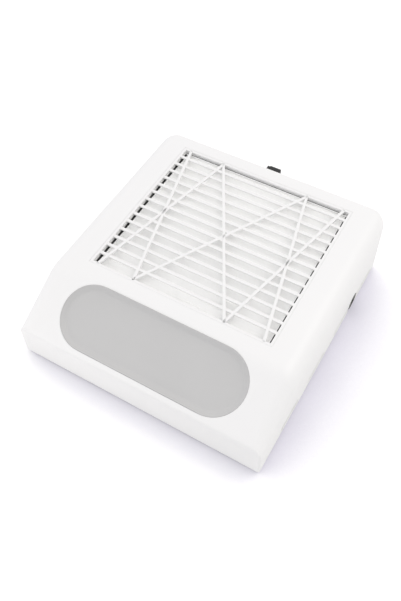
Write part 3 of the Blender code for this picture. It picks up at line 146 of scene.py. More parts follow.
bpy.ops.mesh.primitive_plane_add(size=TABLE_SIZE)
table = bpy.context.object
table.name = "table"
paper, tree, shader, place = new_material("white_background_paper")
# Fibres about 4 mm long give the sheet a faint cloudiness. Only the camera sees the shade and
# the lift, so the light that the table throws back on the housing stays white.
set_shader(shader, Roughness=0.9, Specular_IOR_Level=0.2)
fibres = add_node(tree, "ShaderNodeTexNoise", {"Vector": place, "Scale": 260.0, "Detail": 4.0})
tone = add_node(tree, "ShaderNodeMix", {0: fibres.outputs["Fac"], 6: linear("F4F4F4"),
                                        7: linear("FAFAFA")}, data_type="RGBA")
lit_side = add_node(tree, "ShaderNodeCombineXYZ", LIT_SIDE)
open_sky = add_node(tree, "ShaderNodeAmbientOcclusion", {"Distance": SHADE_REACH,
                                                         "Normal": lit_side.outputs[0]})
shade_free = add_node(tree, "ShaderNodeMapRange", {"Value": open_sky.outputs["AO"],
                                                   "From Min": FULL_SHADE, "From Max": NO_SHADE})
rays = add_node(tree, "ShaderNodeLightPath", {})
unseen = add_node(tree, "ShaderNodeMath", {0: 1.0, 1: rays.outputs["Is Camera Ray"]},
                  operation="SUBTRACT")
plain = add_node(tree, "ShaderNodeMath", {0: shade_free.outputs[0], 1: unseen.outputs[0]},
                 operation="MAXIMUM")
shaded = add_node(tree, "ShaderNodeMix", {0: plain.outputs[0], 6: linear("B8B4C6"),
                                          7: tone.outputs[2]}, data_type="RGBA")
tree.links.new(shaded.outputs[2], shader.inputs["Base Color"])
lift = add_node(tree, "ShaderNodeEmission", {"Color": linear("FFFFFF"), "Strength": PAPER_LIFT})
lifted = add_node(tree, "ShaderNodeAddShader", {0: shader.outputs[0], 1: lift.outputs[0]})
shown = add_node(tree, "ShaderNodeMixShader", {0: rays.outputs["Is Camera Ray"],
                                               1: shader.outputs[0], 2: lifted.outputs[0]})
tree.links.new(shown.outputs[0], tree.nodes["Material Output"].inputs["Surface"])
table.data.materials.append(paper)


# Housing: the white top cover, injection moulded in ABS, with a satin spark-eroded skin. Its
# rounded corners, shoulders and crease are the CAD's, and the bottom cover is of the same plastic.

SHARP_ANGLE = math.radians(30)
FLAT_ANGLE = math.radians(0.5)
MERGE_DISTANCE = 0.000002
EDGE_SEGMENTS = 3
GLOSS_DRIFT = 0.05


def colour_and_relief(tree, shader, mottle, colours, height, depth, strength=1.0):
    """A base colour that drifts with the mottle between two hex colours, and a relief that
    follows the height, its depth in metres."""
    tone = add_node(tree, "ShaderNodeMix", {0: mottle, 6: linear(colours[0]),
                                            7: linear(colours[1])}, data_type="RGBA")
    relief = add_node(tree, "ShaderNodeBump", {"Height": height, "Distance": depth,
                                               "Strength": strength})
    tree.links.new(tone.outputs[2], shader.inputs["Base Color"])
    tree.links.new(relief.outputs[0], shader.inputs["Normal"])


def moulded_plastic(name, colours, roughness, grain, depth):
    """Injection-moulded plastic: a fine eroded grain, and tone and gloss that drift a little
    with the flow of the melt. Grain and depth are in metres."""
    material, tree, shader, place = new_material(name)
    flow = add_node(tree, "ShaderNodeTexNoise", {"Vector": place, "Scale": 14.0, "Detail": 2.0})
    gloss = add_node(tree, "ShaderNodeMapRange", {"Value": flow.outputs["Fac"],
                                                  "To Min": roughness - GLOSS_DRIFT,
                                                  "To Max": roughness + GLOSS_DRIFT})
    eroded = add_node(tree, "ShaderNodeTexNoise", {"Vector": place, "Scale": 1 / grain,
                                                   "Detail": 3.0, "Roughness": 0.6})
    tree.links.new(gloss.outputs[0], shader.inputs["Roughness"])
    colour_and_relief(tree, shader, flow.outputs["Fac"], colours, eroded.outputs["Fac"],
                      depth, 0.5)
    return material


def only(piece):
    """Makes a piece the only selected one, and the active one."""
    bpy.ops.object.select_all(action="DESELECT")
    piece.select_set(True)
    bpy.context.view_layer.objects.active = piece


def apply_all(piece):
    """Applies a piece's modifiers in their order."""
    only(piece)
    for modifier in [each.name for each in piece.modifiers]:
        bpy.ops.object.modifier_apply(modifier=modifier)


def fit_out(piece, body, slot, *nodes):
    """The piece rides on its body and stands for its CAD nodes; the slot for its finish is not
    used.
    """
    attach(piece, body)
    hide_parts(*nodes)


def round_edges(piece, edge):
    """Rounds the sharp edges of a piece by a radius, and smooths the rest of its surface."""
    only(piece)
    bpy.ops.object.shade_smooth_by_angle(angle=SHARP_ANGLE)
    if edge:
        bevel = piece.modifiers.new("edges", "BEVEL")
        bevel.width = edge
        bevel.segments = EDGE_SEGMENTS
        bevel.angle_limit = SHARP_ANGLE
        bevel.harden_normals = True
    apply_all(piece)


def rounded_copy(node, name, edge, material):
    """A merged copy of a CAD node, with the sharp edges rounded as the mould or press does."""
    piece = bpy.data.objects.new(name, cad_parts[node].data.copy())
    bpy.context.scene.collection.objects.link(piece)
    piece.data.name = name
    piece.data.materials.clear()
    piece.data.materials.append(material)
    only(piece)
    if piece.data.has_custom_normals:
        bpy.ops.mesh.customdata_custom_splitnormals_clear()
    bpy.ops.object.mode_set(mode="EDIT")
    bpy.ops.mesh.select_all(action="SELECT")
    bpy.ops.mesh.remove_doubles(threshold=MERGE_DISTANCE)
    bpy.ops.mesh.dissolve_limited(angle_limit=FLAT_ANGLE)
    bpy.ops.object.mode_set(mode="OBJECT")
    round_edges(piece, edge)
    return piece


def finished_copy(node, name, edge, material, body, slot):
    """A rounded copy that stands for its CAD node."""
    fit_out(rounded_copy(node, name, edge, material), body, slot, node)


white_abs = moulded_plastic("white_abs_eroded", ("F1F1F0", "EFEFEE"), 0.42, 0.0006, 0.00004)
finished_copy("top_cover", "housing_shell", 0.0, white_abs, "housing", "white_plastic")
finished_copy("bottom_cover", "housing_tray", 0.0, white_abs, "housing", "white_plastic")


# Grille: a loose ABS panel that drops into its seat. Cross bars lie a little under the top, and
# three crossed pairs of thin ribs run over them from the front to the rear of its border.

TOP_FRAME = (Matrix.Translation((0, -0.059121, 0.075767))
             @ Matrix.Rotation(math.radians(1.75), 4, "X"))
GRILLE_WIDTH = 0.185
GRILLE_DEPTH = 0.170
BORDER = 0.0025
SEAT_FIT = 0.0002
PANEL_THICKNESS = 0.003
PANEL_EDGE = 0.0003
BAR_EDGE = 0.0002
BAR_COUNT = 14
BAR_SHIFT = 0.0009
BAR_WIDTH, BAR_LOW, BAR_HIGH = 0.003, -0.0022, -0.0004
RIB_WIDTH, RIB_LOW, RIB_HIGH = 0.0028, -0.0024, 0.0
RIB_KNOTS = (-0.468, -0.256, 0.256, 0.468)
MOULDED_ANGLE = math.radians(35)


def settle(piece, place=None):
    """Moves a piece to a place, if one is given, and leaves its object at the origin."""
    if place is not None:
        piece.matrix_world = place
    only(piece)
    bpy.ops.object.transform_apply(location=True, rotation=True, scale=True)


def join(piece, others):
    """Makes other pieces a part of this one."""
    only(piece)
    for other in others:
        other.select_set(True)
    bpy.ops.object.join()


def straight_bar(start, end, width, low, high):
    """A bar between two points of the panel, its edges rounded."""
    (x0, y0), (x1, y1) = start, end
    bpy.ops.mesh.primitive_cube_add(size=1.0)
    bar = bpy.context.object
    bar.dimensions = (math.hypot(x1 - x0, y1 - y0), width, high - low)
    bar.location = ((x0 + x1) / 2, (y0 + y1) / 2, (low + high) / 2)
    bar.rotation_euler = (0, 0, math.atan2(y1 - y0, x1 - x0))
    settle(bar)
    bevel = bar.modifiers.new("edges", "BEVEL")
    bevel.width = BAR_EDGE
    bevel.segments = EDGE_SEGMENTS
    apply_all(bar)
    return bar


side_x = GRILLE_WIDTH / 2 + BORDER / 2
bars = []
for index in range(BAR_COUNT):
    bar_y = GRILLE_DEPTH / (BAR_COUNT + 1) * (index + 1) + BAR_SHIFT
    bars.append(straight_bar((-side_x, bar_y), (side_x, bar_y), BAR_WIDTH, BAR_LOW, BAR_HIGH))
knots = [share * GRILLE_WIDTH for share in RIB_KNOTS]
for left, right in zip(knots, knots[1:]):
    for front_x, rear_x in ((left, right), (right, left)):
        lean = (rear_x - front_x) / GRILLE_DEPTH * BORDER / 2
        bars.append(straight_bar((front_x - lean, -BORDER / 2),
                                 (rear_x + lean, GRILLE_DEPTH + BORDER / 2),
                                 RIB_WIDTH, RIB_LOW, RIB_HIGH))

bpy.ops.mesh.primitive_plane_add(size=1.0, location=(0, GRILLE_DEPTH / 2, 0))
grille = bpy.context.object
grille.name = "grille"
grille.dimensions = (GRILLE_WIDTH + 2 * (BORDER + SEAT_FIT),
                     GRILLE_DEPTH + 2 * (BORDER + SEAT_FIT), 0)
settle(grille)
bpy.ops.object.mode_set(mode="EDIT")
bpy.ops.mesh.select_all(action="SELECT")
bpy.ops.mesh.inset(thickness=BORDER + SEAT_FIT)
bpy.ops.mesh.delete(type="FACE")
bpy.ops.object.mode_set(mode="OBJECT")
wall = grille.modifiers.new("wall", "SOLIDIFY")
wall.thickness = PANEL_THICKNESS
wall.offset = -1.0
bevel = grille.modifiers.new("edges", "BEVEL")
bevel.width = PANEL_EDGE
bevel.segments = EDGE_SEGMENTS
apply_all(grille)
join(grille, bars)
bpy.ops.object.shade_smooth_by_angle(angle=MOULDED_ANGLE)
grille.data.materials.append(white_abs)
settle(grille, TOP_FRAME)
fit_out(grille, "grille", "white_plastic", "grille_panel")


# Filter: pleated cellulose paper in a black polypropylene frame, on a strip of black foam. Flaps
# of the paper are glued over the frame's front wall and the inside of its rear and right walls,
# so its black shows at the left and as a thin line at the right.

PLEATS = 28
PAPER_COLUMNS = 36
PAPER_THICKNESS = 0.0005
FOLD_TOP = -0.0047
FOLD_BOTTOM = -0.0100
FOLD_WIDTH = 0.0013
FOLD_ANGLE = math.radians(60)
SOFT_ANGLE = math.radians(40)
REAR_FLAP = (0, 0.0006, 0.0053)
BAND_TOP = -0.0049
BAND_BOTTOM = -0.0233
PAPER_HALF = 0.0899
PAPER_FRONT = 0.0023
PAPER_REAR = 0.1664
FLAP_FRONT = 0.0024
FLAP_REAR = 0.1676
FLAP_REAR_END = 0.1685
FLAP_SIDE = 0.0898
FLAP_SIDE_END = 0.0909


def select_points(piece, test):
    """Selects the points of a piece that pass a test of their place, and nothing else."""
    only(piece)
    bpy.ops.object.mode_set(mode="EDIT")
    bpy.ops.mesh.select_mode(type="VERT")
    bpy.ops.mesh.select_all(action="DESELECT")
    bpy.ops.object.mode_set(mode="OBJECT")
    for vertex in piece.data.vertices:
        vertex.select = test(vertex.co)
    bpy.ops.object.mode_set(mode="EDIT")


def wave(point, height, across, along):
    """A ripple in metres, with its waves per metre of width and of depth in radians."""
    return height * math.sin(point.x * across + point.y * along)


filter_paper, tree, shader, place = new_material("pleated_cellulose_paper")
# Matted fibres about 0.4 mm across give the paper its soft mottle and its dull, dry look. A faint
# glow is painted light, which pales the shade between the pleats under the grille.
set_shader(shader, Roughness=0.92, Specular_IOR_Level=0.15, Emission_Color=linear("FFFFFF"),
           Emission_Strength=0.045)
fibres = add_node(tree, "ShaderNodeTexNoise", {"Vector": place, "Scale": 2500.0, "Detail": 4.0,
                                               "Roughness": 0.7})
clouds = add_node(tree, "ShaderNodeTexNoise", {"Vector": place, "Scale": 120.0, "Detail": 3.0})
blend = add_node(tree, "ShaderNodeMath", {0: fibres.outputs["Fac"], 1: clouds.outputs["Fac"]},
                 operation="MULTIPLY")
colour_and_relief(tree, shader, blend.outputs[0], ("FFFFFE", "F4F4F2"), fibres.outputs["Fac"],
                  0.00012, 0.6)

black_pp = moulded_plastic("black_polypropylene", ("0A0A0A", "0E0E0E"), 0.6, 0.0005, 0.00003)
holder = rounded_copy("filter_frame", "filter_holder", 0.0003, black_pp)
only(holder)
bpy.ops.object.mode_set(mode="EDIT")
flap_edges = [(Vector((0, 1, 0)), edge) for edge in (FLAP_FRONT, FLAP_REAR, FLAP_REAR_END)]
flap_edges += [(Vector((1, 0, 0)), edge) for edge in (FLAP_SIDE, FLAP_SIDE_END)]
for across, edge in flap_edges:
    bpy.ops.mesh.select_all(action="SELECT")
    bpy.ops.mesh.bisect(plane_co=TOP_FRAME @ (edge * across),
                        plane_no=TOP_FRAME.to_3x3() @ across)
bpy.ops.object.mode_set(mode="OBJECT")
holder.data.materials.append(filter_paper)
# Each band is picked by one distance alone. It also crosses the underside and, in strips of 0.9
# to 1.5 mm by the corners, the outer walls, where it shows as white once the filter is lifted.
level_frame = TOP_FRAME.inverted()
for face in holder.data.polygons:
    middle = level_frame @ face.center
    if (middle.y < FLAP_FRONT or FLAP_REAR < middle.y < FLAP_REAR_END
            or FLAP_SIDE < middle.x < FLAP_SIDE_END):
        face.material_index = 1
fit_out(holder, "filter", "black_plastic", "filter_frame")

# The folds run from left to right between two side bands.
bpy.ops.mesh.primitive_grid_add(x_subdivisions=PAPER_COLUMNS, y_subdivisions=2 * PLEATS, size=1.0)
pleats = bpy.context.object
pleats.name = "filter_pleats"
pleats.dimensions = (2 * PAPER_HALF, PAPER_REAR - PAPER_FRONT, 0)
pleats.location = (0, (PAPER_FRONT + PAPER_REAR) / 2, FOLD_BOTTOM)
settle(pleats)
pitch = (PAPER_REAR - PAPER_FRONT) / (2 * PLEATS)
select_points(pleats, lambda point: round((point.y - PAPER_FRONT) / pitch) % 2 == 1)
bpy.ops.transform.translate(value=(0, 0, FOLD_TOP - FOLD_BOTTOM))
bpy.ops.object.mode_set(mode="OBJECT")
select_points(pleats, lambda point: point.y > PAPER_REAR - pitch / 4)
bpy.ops.mesh.extrude_region_move(TRANSFORM_OT_translate={"value": REAR_FLAP})
bpy.ops.object.mode_set(mode="OBJECT")
for vertex in pleats.data.vertices:
    start = vertex.co.copy()
    vertex.co.y += wave(start, 0.00022, 71, 900) + wave(start, 0.00012, 233, 410)
    vertex.co.z += wave(start, 0.00015, 97, 640)
sheet_wall = pleats.modifiers.new("paper", "SOLIDIFY")
sheet_wall.thickness = PAPER_THICKNESS
sheet_wall.offset = 0.0
folds = pleats.modifiers.new("folds", "BEVEL")
folds.width = FOLD_WIDTH
folds.segments = 4
folds.angle_limit = FOLD_ANGLE
apply_all(pleats)
join(pleats, [straight_bar((x, PAPER_FRONT), (x, PAPER_REAR), PAPER_THICKNESS,
                           BAND_BOTTOM, BAND_TOP) for x in (-PAPER_HALF, PAPER_HALF)])
bpy.ops.object.shade_smooth_by_angle(angle=SOFT_ANGLE)
pleats.data.materials.append(filter_paper)
settle(pleats, TOP_FRAME)
fit_out(pleats, "filter", "filter_paper", "filter_media")

foam, tree, shader, place = new_material("black_epdm_foam")
# Closed cells of about 0.8 mm leave the cut foam pitted and dull.
set_shader(shader, Roughness=0.95)
cells = add_node(tree, "ShaderNodeTexVoronoi", {"Vector": place, "Scale": 1250.0})
colour_and_relief(tree, shader, cells.outputs["Distance"], ("161616", "2A2A2A"),
                  cells.outputs["Distance"], 0.0003)
finished_copy("filter_seal", "filter_foam_strip", 0.0003, foam, "filter", "seal_foam")


# Hand rest: a firm foam pad in a soft grey moulded polyurethane skin, pressed into its seat on
# the slope. Its rim is flush with the slope, and an even bevel falls to its flat, dished middle.

SLOPE_FRAME = (Matrix.Translation((0, -0.106267, 0.059425))
               @ Matrix.Rotation(math.radians(30), 4, "X"))
REST_LENGTH = 0.1894
REST_WIDTH = 0.0629
REST_UNDERSIDE = -0.0051
REST_DISH = 0.0035
REST_EDGE = 0.0064
REST_POINTS = 128
RIM_RADIUS = 0.0005
RIM_STEPS = 5
DISH_STEPS = 14
BEVEL_SHARE = 0.65

bpy.ops.mesh.primitive_circle_add(vertices=REST_POINTS, radius=REST_WIDTH / 2,
                                  rotation=(0, 0, math.pi / REST_POINTS))
rest = bpy.context.object
rest.name = "hand_rest"
settle(rest)
reach = (REST_LENGTH - REST_WIDTH) / 2
for side in (1, -1):
    select_points(rest, lambda point: point.x * side > 0)
    bpy.ops.transform.translate(value=(side * reach, 0, 0))
    bpy.ops.object.mode_set(mode="OBJECT")
bpy.ops.object.mode_set(mode="EDIT")
bpy.ops.mesh.select_all(action="SELECT")
bpy.ops.transform.translate(value=(0, 0, REST_UNDERSIDE))
bpy.ops.mesh.edge_face_add()
bpy.ops.mesh.extrude_region_move(
    TRANSFORM_OT_translate={"value": (0, 0, -RIM_RADIUS - REST_UNDERSIDE)})
bpy.ops.mesh.select_all(action="SELECT")
bpy.ops.mesh.normals_make_consistent(inside=False)
bpy.ops.object.mode_set(mode="OBJECT")
select_points(rest, lambda point: point.z > REST_UNDERSIDE / 2)
turns = [math.pi / 2 * step / RIM_STEPS for step in range(RIM_STEPS + 1)]
for start, end in zip(turns, turns[1:]):
    bpy.ops.mesh.inset(thickness=RIM_RADIUS * (math.cos(start) - math.cos(end)),
                       depth=RIM_RADIUS * (math.sin(end) - math.sin(start)))
# The fall is straight over the bevel's share of the edge, and eases out to the flat middle.
bend = 2 / (1 + BEVEL_SHARE)
falls = [bend * share if share < BEVEL_SHARE
         else 1 - bend * (1 - share) ** 2 / (2 * (1 - BEVEL_SHARE))
         for share in (step / DISH_STEPS for step in range(DISH_STEPS + 1))]
for start, end in zip(falls, falls[1:]):
    bpy.ops.mesh.inset(thickness=(REST_EDGE - RIM_RADIUS) / DISH_STEPS,
                       depth=REST_DISH * (start - end))
bpy.ops.mesh.select_all(action="SELECT")
bpy.ops.mesh.normals_make_consistent(inside=False)
bpy.ops.object.mode_set(mode="OBJECT")
bpy.ops.object.shade_smooth_by_angle(angle=SOFT_ANGLE)

rest_skin, tree, shader, place = new_material("grey_polyurethane_skin")
# A fine pebble of about 0.7 mm and a dry, slightly velvety skin that scatters light softly.
set_shader(shader, Roughness=0.62, Sheen_Weight=0.12, Sheen_Roughness=0.6)
pebble = add_node(tree, "ShaderNodeTexVoronoi", {"Vector": place, "Scale": 1400.0},
                  feature="SMOOTH_F1")
wear = add_node(tree, "ShaderNodeTexNoise", {"Vector": place, "Scale": 22.0, "Detail": 3.0})
colour_and_relief(tree, shader, wear.outputs["Fac"], ("C6C6C5", "C1C1C0"),
                  pebble.outputs["Distance"], 0.00006, 0.5)
rest.data.materials.append(rest_skin)
settle(rest, SLOPE_FRAME)
fit_out(rest, "housing", "soft_grey_pad", "hand_rest_pad")


# Feet: four turned pads of dark grey rubber, pressed into round seats in the bottom cover. Their
# lower edge is chamfered, so that they do not catch on the table.

FOOT_ENDS = (("front", -0.104704), ("rear", 0.097796))
FOOT_SIDES = (("left", -0.1), ("right", 0.1))


def clean_mesh():
    """Merges doubled points of the piece in edit mode, turns its normals outwards and leaves."""
    bpy.ops.mesh.select_all(action="SELECT")
    bpy.ops.mesh.remove_doubles(threshold=MERGE_DISTANCE)
    bpy.ops.mesh.normals_make_consistent(inside=False)
    bpy.ops.object.mode_set(mode="OBJECT")


def turned(name, profile, steps, capped=True):
    """Turns an outline of radii and levels about the Z axis. The outline of a ring ends where it
    starts, and that of a solid piece has a face over each end."""
    bpy.ops.mesh.primitive_circle_add(vertices=steps, radius=profile[0][0],
                                      location=(0, 0, profile[0][1]),
                                      fill_type="NGON" if capped else "NOTHING")
    piece = bpy.context.object
    piece.name = name
    settle(piece)
    bpy.ops.object.mode_set(mode="EDIT")
    bpy.ops.mesh.select_all(action="SELECT")
    for (before, low), (radius, high) in zip(profile, profile[1:]):
        bpy.ops.mesh.extrude_region_move(TRANSFORM_OT_translate={"value": (0, 0, high - low)})
        bpy.ops.transform.resize(value=(radius / before, radius / before, 1),
                                 center_override=(0, 0, high))
    clean_mesh()
    return piece


def dress(piece, edge, material, place=None):
    """Rounds the edges of a piece, gives it its material and moves it to its place."""
    round_edges(piece, edge)
    piece.data.materials.append(material)
    settle(piece, place)


def placed_copy(piece, name, place):
    """A copy of a finished piece at a place, its own mesh moved and its object at the origin."""
    only(piece)
    bpy.ops.object.duplicate()
    copy = bpy.context.object
    copy.name = name
    settle(copy, place)
    return copy


foot_rubber, tree, shader, place = new_material("dark_grey_nitrile_rubber")
# Moulded rubber is dull, with a fine bloom and a grain of about 0.3 mm.
set_shader(shader, Roughness=0.8)
bloom = add_node(tree, "ShaderNodeTexNoise", {"Vector": place, "Scale": 180.0, "Detail": 4.0})
grain = add_node(tree, "ShaderNodeTexNoise", {"Vector": place, "Scale": 3300.0, "Detail": 2.0})
colour_and_relief(tree, shader, bloom.outputs["Fac"], ("2E2E2E", "3C3C3B"), grain.outputs["Fac"],
                  0.00008)

foot = turned("foot", [(0.0062, 0.0), (0.0070, 0.0009), (0.0070, 0.0036)], 48)
dress(foot, 0.0003, foot_rubber)
for end, y in FOOT_ENDS:
    for side, x in FOOT_SIDES:
        spot = Matrix.Translation((x, y, 0))
        pad = placed_copy(foot, "rubber_foot_" + end + "_" + side, spot)
        fit_out(pad, "housing", "grey_rubber", "foot_" + end + "_" + side)
bpy.data.objects.remove(foot)


# Switch: a black polyamide snap-in rocker switch in the rear wall, with brass terminals under
# its body. The rocker is a little glossier than its bezel, where fingers polish it.

METAL_DRIFT = 0.08


def worked_metal(name, colour, roughness, marks, depth):
    """Bare metal with the fine marks of its working. Marks holds their number per metre along
    each axis, and depth is in metres."""
    material, tree, shader, place = new_material(name)
    set_shader(shader, Metallic=1.0, Base_Color=linear(colour))
    drawn = add_node(tree, "ShaderNodeMapping", {"Vector": place, "Scale": marks})
    lines = add_node(tree, "ShaderNodeTexNoise", {"Vector": drawn.outputs[0], "Scale": 1.0,
                                                  "Detail": 4.0, "Roughness": 0.6})
    gloss = add_node(tree, "ShaderNodeMapRange", {"Value": lines.outputs["Fac"],
                                                  "To Min": roughness - METAL_DRIFT,
                                                  "To Max": roughness + METAL_DRIFT})
    relief = add_node(tree, "ShaderNodeBump", {"Height": lines.outputs["Fac"],
                                               "Distance": depth, "Strength": 0.6})
    tree.links.new(gloss.outputs[0], shader.inputs["Roughness"])
    tree.links.new(relief.outputs[0], shader.inputs["Normal"])
    return material


black_pa = moulded_plastic("black_polyamide", ("161616", "1B1B1B"), 0.45, 0.0005, 0.00003)
rocker_pa = moulded_plastic("polished_black_polyamide", ("121212", "161616"), 0.28, 0.0008,
                            0.00001)
finished_copy("switch_housing", "switch_bezel", 0.0004, black_pa, "housing", "black_plastic")
finished_copy("power_rocker", "switch_rocker", 0.0004, rocker_pa, "rocker", "black_plastic")
stamped_brass = worked_metal("stamped_brass", "C9A25C", 0.32, (3000, 3000, 500), 0.00001)
for side in ("left", "right"):
    finished_copy("switch_terminal_" + side, "switch_tab_" + side, 0.0001, stamped_brass,
                  "housing", "brass")


# Power inlet: a round black socket for a round plug, low in the right wall, with a thin centre
# pin in its bore and two brass terminals behind. The cord is not a part of the object.

INLET_PLACE = (Matrix.Translation((0.1275, 0.0658, 0.0125))
               @ Matrix.Rotation(math.pi / 2, 4, "Y"))

socket = turned("inlet_socket", [(0.0006, -0.0095), (0.0032, -0.0095), (0.0032, -0.0004),
                                 (0.0036, 0.0), (0.0092, 0.0), (0.0092, -0.0016),
                                 (0.0060, -0.0016), (0.0060, -0.0210), (0.0006, -0.0210)], 64)
dress(socket, 0.0003, black_pa, INLET_PLACE)
fit_out(socket, "housing", "black_plastic", "dc_inlet")

turned_brass = worked_metal("nickel_washed_brass", "D8CBA4", 0.22, (4000, 400, 400), 0.000005)
pin = turned("centre_pin", [(0.0010, -0.0092), (0.0010, -0.0021), (0.0006, -0.0015)], 24)
dress(pin, 0.0001, turned_brass, INLET_PLACE)
fit_out(pin, "housing", "brass", "inlet_pin")
for row in ("lower", "upper"):
    finished_copy("inlet_terminal_" + row, "inlet_tab_" + row, 0.0001, stamped_brass,
                  "housing", "brass")


# Fan deck: the natural light grey ABS plate under the filter, whose bell mouth guides the air
# into the impeller's eye.

deck_abs = moulded_plastic("light_grey_abs", ("D6D6D4", "CFCFCD"), 0.45, 0.0006, 0.00004)
finished_copy("fan_deck", "fan_deck_plate", 0.0003, deck_abs, "housing", "deck_plastic")


# Impeller: one glass-filled nylon wheel. A disc with a domed hub over the motor, eleven backward
# curved blades and a shroud ring, held on the steel shaft by a brass nut.

FAN_PLACE = Matrix.Translation((0, 0.02584, 0))
FAN_RADIUS = 0.07003
EYE_RADIUS = 0.04803
BLADES = 11
BLADE_SWEEP = math.radians(34)
BLADE_CURL = 1.25
BLADE_THICKNESS = 0.0013
BLADE_START = EYE_RADIUS + 0.0015
BLADE_END = FAN_RADIUS - 0.0006
BLADE_STEPS = 4
DISC_LEVEL = 0.01925
SHROUD_LEVEL = 0.04075
SHROUD_FALL = 0.0020


def drawn_line(name, points):
    """A smooth curve through points in metres, drawn one point after another."""
    bpy.ops.curve.primitive_bezier_curve_add()
    line = bpy.context.object
    line.name = name
    bpy.ops.object.mode_set(mode="EDIT")
    bpy.ops.curve.select_all(action="SELECT")
    bpy.ops.curve.delete(type="VERT")
    for point in points:
        bpy.ops.curve.vertex_add(location=point)
    bpy.ops.curve.select_all(action="SELECT")
    bpy.ops.curve.handle_type_set(type="AUTOMATIC")
    bpy.ops.object.mode_set(mode="OBJECT")
    return line


def blade_point(share):
    """The foot of a blade at a share of its length, which bends back more towards its end."""
    radius = BLADE_START + (BLADE_END - BLADE_START) * share
    turn = BLADE_SWEEP * share ** BLADE_CURL
    return (radius * math.cos(turn), radius * math.sin(turn), DISC_LEVEL)


glass_nylon = moulded_plastic("glass_filled_nylon", ("2B2B2D", "343436"), 0.48, 0.0004, 0.00005)
wheel = turned("impeller_wheel", [
    (0.0028, 0.0386), (0.0060, 0.0386), (0.0060, 0.0360), (0.0195, 0.0360), (0.0235, 0.0345),
    (0.0260, 0.0295), (0.0260, 0.0215), (0.0275, 0.0200), (FAN_RADIUS, 0.0200),
    (FAN_RADIUS, 0.0185), (0.0242, 0.0185), (0.0242, 0.0290), (0.0222, 0.0328),
    (0.0188, 0.0342), (0.0028, 0.0342), (0.0028, 0.0386)], 96, capped=False)
shroud = turned("impeller_shroud", [
    (EYE_RADIUS, 0.0415), (FAN_RADIUS, 0.0395), (FAN_RADIUS, 0.0380), (EYE_RADIUS, 0.0400),
    (EYE_RADIUS, 0.0415)], 96, capped=False)
blade = drawn_line("impeller_blade", [blade_point(step / BLADE_STEPS)
                                      for step in range(BLADE_STEPS + 1)])
blade.data.resolution_u = 4
bpy.ops.object.convert(target="MESH")
bpy.ops.object.mode_set(mode="EDIT")
bpy.ops.mesh.select_all(action="SELECT")
bpy.ops.mesh.extrude_region_move(
    TRANSFORM_OT_translate={"value": (0, 0, SHROUD_LEVEL - DISC_LEVEL)})
bpy.ops.object.mode_set(mode="OBJECT")
for vertex in blade.data.vertices:
    if vertex.co.z > (DISC_LEVEL + SHROUD_LEVEL) / 2:
        outwards = (vertex.co.xy.length - EYE_RADIUS) / (FAN_RADIUS - EYE_RADIUS)
        vertex.co.z = SHROUD_LEVEL - SHROUD_FALL * outwards
skin = blade.modifiers.new("skin", "SOLIDIFY")
skin.thickness = BLADE_THICKNESS
skin.offset = 0.0
apply_all(blade)
blades = [placed_copy(blade, "impeller_blade_copy",
                      Matrix.Rotation(math.tau * index / BLADES, 4, "Z"))
          for index in range(BLADES)]
bpy.data.objects.remove(blade)
join(wheel, [shroud] + blades)
dress(wheel, 0.0002, glass_nylon, FAN_PLACE)
fit_out(wheel, "rotor", "fan_plastic", "impeller")

bright_steel = worked_metal("ground_bright_steel", "C4C6C8", 0.2, (600, 600, 5000), 0.000005)
shaft = turned("motor_shaft", [(0.0025, 0.0172), (0.0025, 0.0420), (0.0020, 0.0425)], 32)
dress(shaft, 0.0002, bright_steel, FAN_PLACE)
fit_out(shaft, "rotor", "zinc_plated_steel", "fan_shaft")
finished_copy("impeller_nut", "hex_nut", 0.0003, turned_brass, "rotor", "brass")


# Motor: a deep-drawn zinc plated can with a sintered bush in its nose, glued on a zinc plated
# plate that three screws hold on the bottom cover's bosses.

drawn_steel = worked_metal("drawn_zinc_plated_steel", "A9ABAD", 0.36, (300, 300, 2500), 0.00001)
can = turned("motor_body", [
    (0.0006, 0.0180), (0.0028, 0.0180), (0.0028, 0.0286), (0.0049, 0.0286), (0.0049, 0.0320),
    (0.0070, 0.0320), (0.0070, 0.0304), (0.0200, 0.0304), (0.0215, 0.0300), (0.0220, 0.0289),
    (0.0220, 0.0116), (0.0208, 0.0104), (0.0006, 0.0104)], 96)
dress(can, 0.0003, drawn_steel, FAN_PLACE)
fit_out(can, "housing", "motor_steel", "motor_can")

sintered_bronze = worked_metal("sintered_bronze", "A87B45", 0.5, (2500, 2500, 2500), 0.00003)
bush = turned("bearing_bush", [(0.0028, 0.0289), (0.0046, 0.0289), (0.0046, 0.0320),
                               (0.0028, 0.0320), (0.0028, 0.0289)], 48, capped=False)
dress(bush, 0.0002, sintered_bronze, FAN_PLACE)
fit_out(bush, "housing", "brass", "shaft_bush")
zinc_plate = worked_metal("zinc_plated_sheet", "B9BBBC", 0.4, (900, 160, 900), 0.00002)
finished_copy("motor_plate", "motor_mounting", 0.0002, zinc_plate, "housing", "zinc_plated_steel")


# Driver board: green lacquered glass fibre with a sleeved electrolytic capacitor, an extruded
# aluminium heat sink and three nylon connectors for the leads.

CAPACITOR_PLACE = Matrix.Translation((0.0302, -0.1051, 0.0134))
MARKED_FROM = 0.0337

green_lacquer, tree, shader, place = new_material("green_lacquered_fr4")
